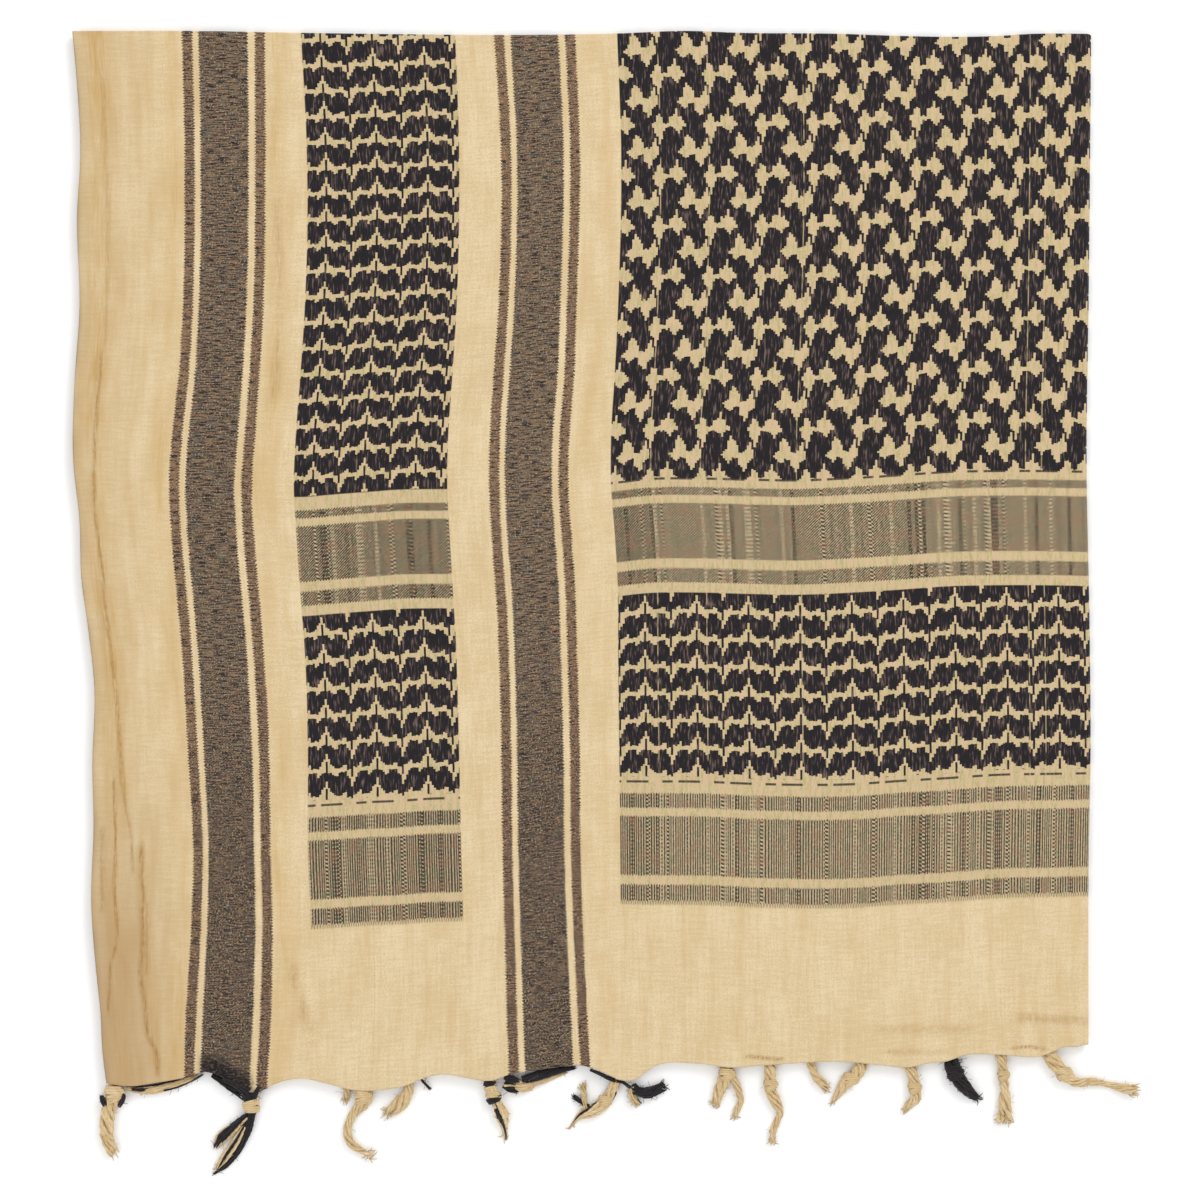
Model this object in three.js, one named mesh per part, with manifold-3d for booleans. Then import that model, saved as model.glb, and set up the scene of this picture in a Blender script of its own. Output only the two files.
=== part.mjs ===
// A square cotton headscarf, folded in half twice and laid flat: one quarter of the cloth shows.
// Millimetres, +Z up. While it is drawn, X runs from the selvages to the side fold, Y from the hem
// up to the top fold, and Z up from the table. The finished group is centred over the origin.
import * as THREE from "three";
import { mergeVertices } from "three/addons/utils/BufferGeometryUtils.js";
import Module from "manifold-3d";

const wasm = await Module();
wasm.setup();

// ---- driving dimensions -------------------------------------------------------------------------
const QUARTER_WIDTH = 532; // selvage to side fold, half the width of the whole cloth
const QUARTER_LENGTH = 543; // hem to top fold, half the length of the whole cloth
const CLOTH = 1.2; // one layer of cloth
const GAP = 0.3; // clearance between neighbouring pieces
const HIDDEN_TOP = 3 * CLOTH + 2 * GAP; // three layers lie under the one that shows
const TOP_FACE = HIDDEN_TOP + GAP + CLOTH; // upper face of the top layer where it lies flattest
const FOLD_RADIUS = 2.8; // how the top layer rounds down at its two folds
const FOLD_STEPS = [0.5, 0.87, 1]; // sines of the angles at which a fold has an edge
const ROW_COUNT = 19; // rows of facets up the top layer, closer together at the hem
const HEM_CROWDING = 1.35; // over 1 brings the lower rows together
const RIPPLED_WIDTH = 62; // the gathered strip along the selvage
const RIPPLE_COLUMN = 4.6; // widest facet in that strip
const PLAIN_COLUMN = 17; // widest facet elsewhere

const ROPE_SIDES = 8;
const ROPE_FLATNESS = 0.72; // a tassel's height over its width as it lies
const ROPE_HIGHEST = 5.2;
const ROPE_THINNEST = 1.6;
const ROPE_CLEARANCE = 0.25; // between a tassel's underside and the table
const HEM_MIDDLE = 2.9; // height of a tassel's middle where it leaves the stack

// ---- outline of the top layer -------------------------------------------------------------------
// The selvage wanders in and out; `in` is its distance from the straight edge, up the cloth.
const SELVAGE = [
  { up: -12, in: 16 },
  { up: 17, in: 12.1 },
  { up: 37, in: 11 },
  { up: 57, in: 8.9 },
  { up: 93, in: 6.3 },
  { up: 134, in: 7.4 },
  { up: 164, in: 6.8 },
  { up: 204, in: 7.9 },
  { up: 234, in: 4.7 },
  { up: 261, in: 1 },
  { up: 291, in: 0 },
  { up: 321, in: -3.2 },
  { up: 362, in: -2.6 },
  { up: 400, in: 0 },
  { up: 449, in: -1.2 },
  { up: 481, in: 0.5 },
  { up: 520, in: -1.6 },
  { up: 543, in: -3.7 },
];

// The side fold, by its distance from the selvage's straight edge.
const SIDE_FOLD = [
  { up: 0, across: 531.2 },
  { up: 100, across: 531.3 },
  { up: 160, across: 532.3 },
  { up: 224, across: 531.8 },
  { up: 318, across: 530.2 },
  { up: 402, across: 531.3 },
  { up: 543, across: 532.6 },
];

const TOP_FOLD = [
  { across: -4, up: 543.9 },
  { across: 60, up: 543.9 },
  { across: 116, up: 542.9 },
  { across: 330, up: 542.3 },
  { across: 533, up: 542.6 },
];

// The hem hangs in scallops between its tassels; it dips where a tassel's threads are drawn together.
const HEM = [
  { across: 15, up: -10 },
  { across: 24, up: -11.4 },
  { across: 42, up: -9.4 },
  { across: 55, up: -7 },
  { across: 66.5, up: -3.9 },
  { across: 76, up: -7 },
  { across: 85, up: -12.4 },
  { across: 93, up: -15.2 },
  { across: 101, up: -11 },
  { across: 116, up: -7.4 },
  { across: 132, up: -10.5 },
  { across: 146, up: -13.8 },
  { across: 157, up: -13.6 },
  { across: 171, up: -11.4 },
  { across: 184, up: -6.4 },
  { across: 191, up: -5.2 },
  { across: 205, up: -7.3 },
  { across: 217, up: -8.6 },
  { across: 226, up: -5.4 },
  { across: 243, up: -2.8 },
  { across: 267, up: -1 },
  { across: 276, up: -4.2 },
  { across: 285, up: -8.4 },
  { across: 294, up: -7.4 },
  { across: 300, up: -2.6 },
  { across: 325, up: 0.5 },
  { across: 342, up: -1.6 },
  { across: 360, up: -0.5 },
  { across: 375, up: 0.5 },
  { across: 405, up: 1.3 },
  { across: 421, up: -0.3 },
  { across: 438, up: -1.4 },
  { across: 447, up: 0.6 },
  { across: 456, up: 1.4 },
  { across: 466, up: 4.8 },
  { across: 485, up: 5 },
  { across: 510, up: 4.9 },
  { across: 518, up: 9 },
  { across: 532, up: 10 },
];

// Main creases of the top layer, as soft ridges that run from one end to the other.
const CREASES = [
  { from: [11.6, 374], to: [7.9, 309], wide: 3.6, high: 0.9 },
  { from: [7.9, 309], to: [14.7, 234], wide: 3.6, high: 1.3 },
  { from: [14.7, 234], to: [23, 144], wide: 3.8, high: 1.5 },
  { from: [17, 124], to: [19, 30], wide: 4.2, high: 1.2 },
  { from: [32.6, 112], to: [39, 2], wide: 4.2, high: 1.4 },
  { from: [51, 150], to: [52, 20], wide: 5.5, high: 0.7 },
  { from: [110, 66], to: [122, 12], wide: 6, high: 0.8 },
  { from: [100, 540], to: [104, 430], wide: 6, high: 0.5 },
  { from: [400, 28], to: [527, 27], wide: 4.5, high: 0.6 },
  { from: [420, 15], to: [529, 17], wide: 4.5, high: 0.6 },
];

// ---- ropes: rolled hems and tassels -------------------------------------------------------------
// Each strand is a table of its sections, a row for each, from the hem to its frayed end.
// The strands of one piece grow out of each other.
const SECTION_COLUMNS = ["across", "up", "wide"];
const BLACK = 0x221d24;
const CREAM = 0xd9be92;
const BROWN = 0x4a3c34;

const ROPES = [
  {
    name: "tassel_01_selvage",
    color: CREAM,
    strands: [[[19, -7, 9], [18.4, -13, 10.5], [17.6, -18, 12], [14.7, -24.7, 8], [14.2, -31.6, 8.4],
      [14.2, -39.5, 7.4], [16.5, -45, 6.4], [18, -48, 5.6]]],
  },
  {
    name: "tassel_02_black",
    color: BLACK,
    strands: [
      [[91, -12, 8], [90, -17.4, 9], [89, -24.7, 6.8], [87.5, -32, 7.4], [84, -41, 7.4], [79, -49, 7],
        [73, -57.4, 3]],
      [[88, -30, 4], [81, -36.5, 4.4], [73.6, -43, 5]],
    ],
  },
  {
    name: "tassel_03_cream",
    color: CREAM,
    strands: [[[150.6, -10, 9], [149.6, -20, 8.4], [145.2, -25, 5.4], [141.5, -31.6, 4.8],
      [141, -37.9, 4.8], [143.6, -43, 4.8], [149, -46, 4.4], [154.5, -48.4, 6.4]]],
  },
  {
    name: "tassel_04_under",
    color: CREAM,
    strands: [[[140.2, -9, 4], [140.6, -15, 4], [139.8, -20, 3]]],
  },
  {
    name: "tassel_05_under",
    color: CREAM,
    strands: [[[173.4, -8, 4.6], [172.6, -16, 6.6], [168, -21.6, 8.6], [161.6, -26.4, 4.6]]],
  },
  {
    name: "tassel_06_mixed",
    color: BROWN,
    strands: [[[215.4, -6, 6], [217.6, -15, 8], [220.6, -22.4, 6.6], [222.4, -27, 8.6], [223.6, -33, 4.2],
      [224.4, -40.5, 1.8]]],
  },
  {
    name: "tassel_07_mixed",
    color: CREAM,
    strands: [
      [[283.4, -6, 4.6], [280.4, -14.2, 6], [276.7, -20.5, 6.6], [269.8, -24.9, 7.4], [264.6, -27, 5],
        [260.4, -31, 1.8], [258, -34.8, 1.6]],
      [[268.4, -23, 2.6], [259.6, -17.2, 2.6]],
      [[266.4, -24, 3], [265, -10.6, 3.6]],
    ],
  },
  {
    name: "tassel_08_black",
    color: BLACK,
    strands: [
      [[290.6, -6, 3.4], [292, -14.4, 5], [298, -15.8, 6.2], [303, -14.4, 6.2], [308.4, -12.6, 4.6]],
      [[292.6, -15, 3], [295.4, -22.8, 3.2]],
    ],
  },
  {
    name: "tassel_09_split",
    color: CREAM,
    strands: [
      [[342, 2, 7.4], [341, -5.3, 8], [337.7, -12.6, 7], [334.6, -22.4, 4.6]],
      [[343, -5, 4.4], [347, -13.4, 4.2], [348.4, -19.5, 3.4], [345.8, -25.8, 3.6], [344.8, -29.6, 1.8]],
    ],
  },
  {
    name: "tassel_10_long",
    color: CREAM,
    strands: [[[364, 3, 8], [364, -7.9, 6.4], [364.2, -14.2, 6.4], [366.8, -20, 6.2], [369, -25.4, 4.4],
      [367, -31.6, 3.8], [365, -36.8, 4.4], [365, -42.4, 4.6]]],
  },
  {
    name: "tassel_11_under",
    color: CREAM,
    strands: [[[384.4, 2, 4.4], [388.2, -6.8, 4.8], [391.9, -11, 5.2], [394.4, -14.2, 3.8]]],
  },
  {
    name: "tassel_12_cream",
    color: CREAM,
    strands: [[[414, 4, 7.8], [409.6, -5, 7.4], [403.6, -10, 7.6], [400.2, -15.3, 4.8], [396.2, -21, 2.6]]],
  },
  {
    name: "tassel_13_cream",
    color: CREAM,
    strands: [[[436.6, 2, 9], [439.2, -6.8, 6], [440.4, -13.2, 6.2], [440.4, -19, 5.6], [436.4, -22.4, 4.4],
      [434.6, -25.6, 3.4]]],
  },
  {
    name: "tassel_14_black",
    color: BLACK,
    strands: [[[458, 6, 9.6], [459.4, -3.2, 8], [463.9, -9.5, 8.6], [468.2, -14.4, 7], [473.6, -19, 3]]],
  },
  {
    name: "tassel_15_flared",
    color: CREAM,
    strands: [[[484.4, 9, 7.8], [486.6, -1.6, 5.4], [487.2, -9, 5.4], [487.6, -15.8, 6.2], [487.6, -23.7, 7.4],
      [487.6, -31, 9.4]]],
  },
  {
    name: "tassel_16_corner",
    color: CREAM,
    strands: [[[508.6, 10, 9.4], [514.6, -0.6, 8], [520.4, -6.6, 7.4], [525.4, -9.8, 5.4],
      [533, -9.6, 4.8], [541.6, -11, 3.4], [549, -12.8, 5], [557, -14.4, 7.4]]],
  },
  {
    name: "hem_roll_01_twisted",
    color: BROWN,
    strands: [[[24.6, -12.4, 2.8], [32, -13.8, 4.2], [40, -13.4, 4.7], [48, -11.4, 4.2], [55.8, -9, 3.2],
      [62.4, -6.6, 2.2]]],
  },
  {
    name: "hem_roll_02_black",
    color: BLACK,
    strands: [[[69.4, -6, 2.4], [75.6, -9.8, 4], [81.6, -14, 4.6], [85.6, -16.6, 3.4]]],
  },
  {
    name: "hem_roll_03_twisted",
    color: BROWN,
    strands: [[[222.6, -10.8, 5.4], [226.5, -11.8, 8], [232.6, -10.6, 8.2], [240, -7.4, 7], [247.7, -6.2, 6],
      [254.6, -4.6, 4.4], [261.6, -2.8, 2.2]]],
  },
  {
    name: "hem_roll_04_strand",
    color: BLACK,
    strands: [[[268.6, -3.4, 1.8], [274, -5.6, 2.2], [279.6, -7.6, 2.4]]],
  },
];

// ---- small helpers ------------------------------------------------------------------------------
const smooth = (t) => t * t * (3 - 2 * t);
const clamp = THREE.MathUtils.clamp;

// Reads a table between its rows: `key` names the column that runs along, `field` the one that is read.
function readTable(rows, key, field, where, ease = (t) => t) {
  const last = rows.length - 1;
  if (where <= rows[0][key]) return rows[0][field];
  if (where >= rows[last][key]) return rows[last][field];
  const i = rows.findIndex((row) => row[key] > where) - 1;
  const t = (where - rows[i][key]) / (rows[i + 1][key] - rows[i][key]);
  return THREE.MathUtils.lerp(rows[i][field], rows[i + 1][field], ease(t));
}

const selvageAt = (up) => readTable(SELVAGE, "up", "in", up, smooth);
const sideFoldAt = (up) => readTable(SIDE_FOLD, "up", "across", up, smooth);
const topFoldAt = (across) => readTable(TOP_FOLD, "across", "up", across, smooth);
const hemAt = (across) => readTable(HEM, "across", "up", across);

// Height that the creases add at a point of the top layer.
function creaseHeight(x, y) {
  let height = 0;
  for (const { from, to, wide, high } of CREASES) {
    const along = [to[0] - from[0], to[1] - from[1]];
    const length2 = along[0] ** 2 + along[1] ** 2;
    const t = ((x - from[0]) * along[0] + (y - from[1]) * along[1]) / length2;
    const near = clamp(t, 0, 1);
    const away = Math.hypot(x - from[0] - near * along[0], y - from[1] - near * along[1]);
    height += high * Math.exp(-((away / wide) ** 2));
  }
  return height;
}

function meshOf(name, color, positions, indices) {
  const geometry = new THREE.BufferGeometry();
  geometry.setAttribute("position", new THREE.Float32BufferAttribute(positions.flat(), 3));
  geometry.setIndex(indices);
  geometry.computeVertexNormals();
  const mesh = new THREE.Mesh(
    geometry,
    new THREE.MeshStandardMaterial({ color, roughness: 0.9, metalness: 0 }),
  );
  mesh.name = name;
  return mesh;
}

const quad = (a, b, c, d) => [a, b, c, a, c, d];

// ---- the layer that shows -----------------------------------------------------------------------
// Positions of its columns, as shares of the width: a column at each row of the hem table, with more
// between them where they stand far apart.
function columnShares() {
  const left = selvageAt(0);
  const right = sideFoldAt(0) - FOLD_RADIUS;
  const stops = [left, ...HEM.map((row) => row.across).filter((x) => x > left + 2 && x < right - 2), right];
  const shares = [0];
  for (let i = 1; i < stops.length; i++) {
    const span = stops[i] - stops[i - 1];
    const widest = stops[i] < RIPPLED_WIDTH ? RIPPLE_COLUMN : PLAIN_COLUMN;
    const parts = Math.ceil(span / widest);
    for (let k = 1; k <= parts; k++) shares.push((stops[i - 1] + (span * k) / parts - left) / (right - left));
  }
  return shares;
}

function topLayer() {
  const columns = columnShares().map((share) => ({ share, round: 0 }));
  const rows = [];
  for (let j = 0; j <= ROW_COUNT; j++) rows.push({ share: (j / ROW_COUNT) ** HEM_CROWDING, round: 0 });
  for (const round of FOLD_STEPS) {
    columns.push({ share: 1, round });
    rows.push({ share: 1, round });
  }

  // `inset` is 0 on the upper face and the cloth's thickness on the lower one.
  const place = (column, row, inset) => {
    const up = row.share * QUARTER_LENGTH;
    const x = THREE.MathUtils.lerp(selvageAt(up), sideFoldAt(up) - FOLD_RADIUS, column.share);
    const y = THREE.MathUtils.lerp(hemAt(x), topFoldAt(x) - FOLD_RADIUS, row.share);
    // Where both folds meet, the square of two fold angles becomes a part of a sphere.
    const p = column.round * Math.sqrt(1 - row.round ** 2 / 2);
    const q = row.round * Math.sqrt(1 - column.round ** 2 / 2);
    const radius = FOLD_RADIUS - inset;
    const level = TOP_FACE - FOLD_RADIUS + creaseHeight(x, y) * (1 - Math.hypot(p, q));
    return [x + radius * p, y + radius * q, level + radius * Math.sqrt(Math.max(0, 1 - p * p - q * q))];
  };

  const positions = [];
  for (const inset of [0, CLOTH])
    for (const row of rows) for (const column of columns) positions.push(place(column, row, inset));
  const wide = columns.length;
  const layer = rows.length * wide;
  const at = (i, j, k = 0) => k * layer + j * wide + i;
  const indices = [];
  for (let j = 0; j + 1 < rows.length; j++)
    for (let i = 0; i + 1 < wide; i++) {
      indices.push(...quad(at(i, j), at(i + 1, j), at(i + 1, j + 1), at(i, j + 1)));
      indices.push(...quad(at(i, j, 1), at(i, j + 1, 1), at(i + 1, j + 1, 1), at(i + 1, j, 1)));
    }
  const lastColumn = wide - 1;
  const lastRow = rows.length - 1;
  for (let i = 0; i < lastColumn; i++) {
    indices.push(...quad(at(i, 0), at(i, 0, 1), at(i + 1, 0, 1), at(i + 1, 0)));
    indices.push(...quad(at(i + 1, lastRow), at(i + 1, lastRow, 1), at(i, lastRow, 1), at(i, lastRow)));
  }
  for (let j = 0; j < lastRow; j++) {
    indices.push(...quad(at(0, j + 1), at(0, j + 1, 1), at(0, j, 1), at(0, j)));
    indices.push(...quad(at(lastColumn, j), at(lastColumn, j, 1), at(lastColumn, j + 1, 1), at(lastColumn, j + 1)));
  }
  return meshOf("top_layer", CREAM, positions, indices);
}

// ---- the three layers below, as one solid -------------------------------------------------------
// Levels of its rim from the table up: at its folds it is one rounded edge that ends under the top
// layer's, and at its loose edges each of the three layers stands out from a groove.
const RIM_LEVELS = [
  { z: 0, fold: 1.8, layer: 0, groove: 0.5 },
  { z: 0.4, fold: 0.7, layer: 0, groove: 0 },
  { z: 1.1, fold: 0.3, layer: 0, groove: 0 },
  { z: 1.35, fold: 0.3, layer: 0, groove: 1.4 },
  { z: 1.6, fold: 0.3, layer: 1, groove: 0 },
  { z: 2.5, fold: 0.3, layer: 1, groove: 0 },
  { z: 2.75, fold: 1.7, layer: 1, groove: 1.4 },
  { z: 3, fold: 1.8, layer: 2, groove: 0 },
  { z: 4, fold: 2.8, layer: 2, groove: 0 },
  { z: HIDDEN_TOP, fold: 3.5, layer: 2, groove: 0.3 },
];

// How far inside the top layer's edge a hidden layer ends.
const layerInset = (layer, along) => 1.3 + 0.9 * Math.sin(along / 61 + 2.1 * layer);

function hiddenLayers() {
  // Stations once round the outline, as the outline's point, the way inwards and the kind of edge.
  const stations = [];
  const hem = columnShares().map((share) => THREE.MathUtils.lerp(selvageAt(0), sideFoldAt(0), share));
  for (const x of hem.slice(1, -1)) stations.push({ x, y: hemAt(x), inward: [0, 1], loose: true });
  const sideRows = [0.04, 0.12, 0.25, 0.4, 0.55, 0.7, 0.85, 0.97];
  stations.push({ x: sideFoldAt(0), y: hemAt(QUARTER_WIDTH), inward: [-1, 1], loose: true });
  for (const share of sideRows) {
    const y = share * QUARTER_LENGTH;
    stations.push({ x: sideFoldAt(y), y, inward: [-1, 0], loose: false });
  }
  const corner = FOLD_RADIUS * (1 - Math.SQRT1_2);
  stations.push({
    x: sideFoldAt(QUARTER_LENGTH) - corner,
    y: topFoldAt(QUARTER_WIDTH) - corner,
    inward: [-Math.SQRT1_2, -Math.SQRT1_2],
    loose: false,
  });
  for (const share of [0.99, 0.8, 0.6, 0.4, 0.2, 0.02]) {
    const x = share * QUARTER_WIDTH;
    stations.push({ x, y: topFoldAt(x), inward: [0, -1], loose: false });
  }
  stations.push({ x: selvageAt(QUARTER_LENGTH), y: topFoldAt(0), inward: [1, -1], loose: false });
  for (const { up } of SELVAGE.slice(1, -1).reverse())
    stations.push({ x: selvageAt(up), y: up, inward: [1, 0], loose: true });
  stations.push({ x: selvageAt(hemAt(0)), y: hemAt(0), inward: [1, 1], loose: true });

  const positions = [];
  for (const level of RIM_LEVELS)
    for (const { x, y, inward, loose } of stations) {
      const inset = loose ? layerInset(level.layer, x + y) + level.groove : level.fold;
      positions.push([x + inward[0] * inset, y + inward[1] * inset, level.z]);
    }
  const count = stations.length;
  const indices = [];
  for (let k = 0; k + 1 < RIM_LEVELS.length; k++)
    for (let i = 0; i < count; i++) {
      const next = (i + 1) % count;
      indices.push(...quad(k * count + i, k * count + next, (k + 1) * count + next, (k + 1) * count + i));
    }
  for (const [level, up] of [[0, false], [RIM_LEVELS.length - 1, true]]) {
    const ring = positions.slice(level * count, (level + 1) * count).map(([x, y]) => new THREE.Vector2(x, y));
    for (const [a, b, c] of THREE.ShapeUtils.triangulateShape(ring, [])) {
      const base = level * count;
      indices.push(base + a, base + (up ? b : c), base + (up ? c : b));
    }
  }
  return meshOf("hidden_layers", CREAM, positions, indices);
}

// ---- tassels and rolled hems --------------------------------------------------------------------
// One strand: an oval section at each row, lying on the table after it has left the hem. `grow` makes
// it thicker all round and longer at both ends.
function strandGeometry(rows, grow = 0) {
  const sections = rows.map((row) => Object.fromEntries(SECTION_COLUMNS.map((name, i) => [name, row[i]])));
  const centres = sections.map(({ across, up, wide }, i) => {
    const high = clamp(wide * ROPE_FLATNESS, ROPE_THINNEST, ROPE_HIGHEST);
    const lying = high / 2 + ROPE_CLEARANCE;
    const lift = Math.max(0, 1 - i / 2);
    const z = THREE.MathUtils.lerp(lying, Math.max(lying, HEM_MIDDLE), lift);
    return { x: across, y: up, z, wide, high };
  });
  const positions = [];
  centres.forEach((centre, i) => {
    const before = centres[Math.max(0, i - 1)];
    const after = centres[Math.min(centres.length - 1, i + 1)];
    const run = new THREE.Vector2(after.x - before.x, after.y - before.y).normalize();
    const shift = i === 0 ? -grow : i === centres.length - 1 ? grow : 0;
    for (let k = 0; k < ROPE_SIDES; k++) {
      const angle = ((k + 0.5) / ROPE_SIDES) * 2 * Math.PI;
      const side = Math.cos(angle) * (Math.max(centre.wide, ROPE_THINNEST) / 2 + grow);
      const rise = Math.sin(angle) * (centre.high / 2 + grow);
      positions.push([
        centre.x + run.x * shift + run.y * side,
        centre.y + run.y * shift - run.x * side,
        centre.z + rise,
      ]);
    }
  });
  const indices = [];
  for (let i = 0; i + 1 < centres.length; i++)
    for (let k = 0; k < ROPE_SIDES; k++) {
      const next = (k + 1) % ROPE_SIDES;
      const here = i * ROPE_SIDES;
      const ahead = here + ROPE_SIDES;
      indices.push(...quad(here + next, here + k, ahead + k, ahead + next));
    }
  const end = (centres.length - 1) * ROPE_SIDES;
  for (let k = 1; k + 1 < ROPE_SIDES; k++) {
    indices.push(0, k, k + 1);
    indices.push(end, end + k + 1, end + k);
  }
  return { positions, indices };
}

function solidOf(positions, indices) {
  return new wasm.Manifold(
    new wasm.Mesh({
      numProp: 3,
      vertProperties: new Float32Array(positions),
      triVerts: new Uint32Array(indices),
    }),
  );
}

function ropeSolid(strands, grow = 0) {
  const parts = strands.map((rows) => {
    const { positions, indices } = strandGeometry(rows, grow);
    return solidOf(positions.flat(), indices);
  });
  return parts.reduce((whole, part) => whole.add(part));
}

// The space that the folded cloth needs, grown by the gap, from below the table to above the cloth.
function clothSpace() {
  const points = [];
  for (const { across, up } of HEM) points.push(new THREE.Vector2(across, up - GAP));
  points.push(new THREE.Vector2(QUARTER_WIDTH + 2, hemAt(QUARTER_WIDTH) - GAP));
  points.push(new THREE.Vector2(QUARTER_WIDTH + 2, QUARTER_LENGTH));
  points.push(new THREE.Vector2(HEM[0].across - 1, QUARTER_LENGTH));
  points.push(new THREE.Vector2(HEM[0].across - 1, HEM[0].up - GAP));
  const geometry = new THREE.ExtrudeGeometry(new THREE.Shape(points), { depth: 20, bevelEnabled: false });
  geometry.translate(0, 0, -5);
  geometry.deleteAttribute("normal");
  geometry.deleteAttribute("uv");
  const merged = mergeVertices(geometry, 1e-4);
  return solidOf(merged.attributes.position.array, merged.index.array);
}

function ropePieces() {
  let taken = clothSpace();
  return ROPES.map(({ name, color, strands }) => {
    const bodies = ropeSolid(strands).subtract(taken).decompose();
    const solid = bodies.reduce((best, body) => (body.volume() > best.volume() ? body : best));
    taken = taken.add(ropeSolid(strands, GAP));
    const { numProp, vertProperties, triVerts } = solid.getMesh();
    const positions = [];
    for (let i = 0; i < vertProperties.length; i += numProp) positions.push([...vertProperties.slice(i, i + 3)]);
    return meshOf(name, color, positions, Array.from(triVerts));
  });
}

// ---- the finished scarf -------------------------------------------------------------------------
const drawn = new THREE.Group();
drawn.add(topLayer(), hiddenLayers(), ...ropePieces());

// Centred over the origin, with its underside on the table.
const box = new THREE.Box3().setFromObject(drawn);
const middle = box.getCenter(new THREE.Vector3());
drawn.position.set(-middle.x, -middle.y, -box.min.z);

const scarf = new THREE.Group();
scarf.add(drawn);

export default scarf;
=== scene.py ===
"""A cotton headscarf folded in half twice and laid flat: woven borders, knotted tassels and a pale floor.

Sizes are in millimetres as on the folded cloth: `across` from the selvages to the side fold, `up` from
the hem to the top fold. Positions in the weave are given the same way, on the cloth before it shifted.
"""

import math
import random

import bpy
import numpy as np
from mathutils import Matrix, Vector


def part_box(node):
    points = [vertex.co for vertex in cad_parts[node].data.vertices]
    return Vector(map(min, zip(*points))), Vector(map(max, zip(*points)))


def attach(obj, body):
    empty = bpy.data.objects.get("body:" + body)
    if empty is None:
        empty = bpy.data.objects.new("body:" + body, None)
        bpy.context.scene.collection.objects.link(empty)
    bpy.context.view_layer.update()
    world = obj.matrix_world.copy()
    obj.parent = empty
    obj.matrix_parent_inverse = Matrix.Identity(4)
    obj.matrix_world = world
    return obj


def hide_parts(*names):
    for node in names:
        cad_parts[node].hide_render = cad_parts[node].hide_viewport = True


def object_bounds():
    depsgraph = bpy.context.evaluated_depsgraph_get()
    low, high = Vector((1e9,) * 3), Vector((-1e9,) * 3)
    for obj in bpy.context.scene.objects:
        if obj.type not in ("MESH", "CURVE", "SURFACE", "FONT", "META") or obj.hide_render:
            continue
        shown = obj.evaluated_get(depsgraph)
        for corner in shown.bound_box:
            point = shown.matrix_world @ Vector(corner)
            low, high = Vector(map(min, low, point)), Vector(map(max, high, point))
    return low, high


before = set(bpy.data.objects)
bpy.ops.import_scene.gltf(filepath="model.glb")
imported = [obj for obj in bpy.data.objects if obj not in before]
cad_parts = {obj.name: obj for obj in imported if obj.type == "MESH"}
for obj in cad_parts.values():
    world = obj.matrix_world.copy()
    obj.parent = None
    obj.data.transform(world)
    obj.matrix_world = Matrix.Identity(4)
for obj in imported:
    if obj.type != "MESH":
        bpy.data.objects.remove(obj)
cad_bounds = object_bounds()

MM = 0.001
SEED = 11

# ---- the folded cloth ----
QUARTER_WIDTH = 532
QUARTER_LENGTH = 543
CLOTH = 0.9  # thickness of one layer
LAYER_PITCH = 1.55  # from the middle of one layer to the next
LOWEST_LAYER = 0.6  # height of the middle of the layer that lies on the table

# Where the dark wide stripe is drawn together into a tassel: from and to across, and how deep from the hem.
GATHERED = (61, 93, 8.5)

# Outlines, as rows of two numbers. The selvage is (up, distance in from its straight line).
SELVAGE = [
    (-12, 16), (17, 12.1), (37, 11), (57, 8.9), (93, 6.3), (134, 7.4), (164, 6.8), (204, 7.9),
    (234, 4.7), (261, 1), (291, 0), (321, -3.2), (362, -2.6), (400, 0), (449, -1.2), (481, 0.5),
    (520, -1.6), (543, -3.7),
]
# (up, across)
SIDE_FOLD = [(0, 531.2), (100, 531.3), (160, 532.3), (224, 531.8), (318, 530.2), (402, 531.3), (543, 532.6)]
# (across, up)
TOP_FOLD = [
    (-4, 543.9), (60, 543.9), (116, 542.9), (284, 542.6), (321, 543.9), (345, 543), (400, 542.4),
    (432, 541.3), (465, 540.8), (485, 541.3), (500, 542.3), (533, 542.4),
]
# (across, up)
HEM = [
    (15, -10), (24, -11.4), (42, -9.4), (55, -7), (66.5, -3.9), (76, -7), (85, -12.4), (93, -15.2),
    (101, -11), (116, -7.4), (132, -10.5), (146, -13.8), (157, -13.6), (171, -11.4), (184, -6.4),
    (191, -5.2), (205, -7.3), (217, -8.6), (226, -5.4), (243, -2.8), (267, -1), (276, -4.2), (285, -8.4),
    (294, -7.4), (300, -2.6), (325, 0.5), (342, -1.6), (360, -0.5), (375, 0.5), (405, 1.3), (421, -0.3),
    (438, -1.4), (447, 0.6), (456, 1.4), (466, 4.8), (485, 5), (508, 4.9), (514, 7.4), (518, 9),
    (526, 9.4), (532, 11.6),
]

# Creases of the layer that shows: where each starts and ends, its half width, its height, and how
# strongly the colour along it is tinted gold.
CREASES = [
    ((11.6, 374), (7.9, 309), 3.2, 0.8, 0.8),
    ((7.9, 309), (14.7, 234), 3.2, 1.2, 1.0),
    ((14.7, 234), (23, 144), 3.2, 1.4, 1.0),
    ((17, 124), (19, 30), 3.8, 1.1, 0.7),
    ((32.6, 112), (39, 2), 3.8, 1.2, 0.6),
    ((51, 150), (52, 20), 5.0, 0.6, 0.3),
    ((110, 66), (122, 12), 5.0, 0.7, 0.4),
    ((100, 540), (104, 430), 6.0, 0.4, 0.5),
    ((420, 19), (469, 19), 3.0, 0.5, 0.2),
    ((493, 25), (529, 24), 3.5, 0.6, 0.3),
    ((425, 7), (457, 7), 2.5, 0.4, 0.2),
    ((505, 13), (529, 13), 2.5, 0.4, 0.2),
]
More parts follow.
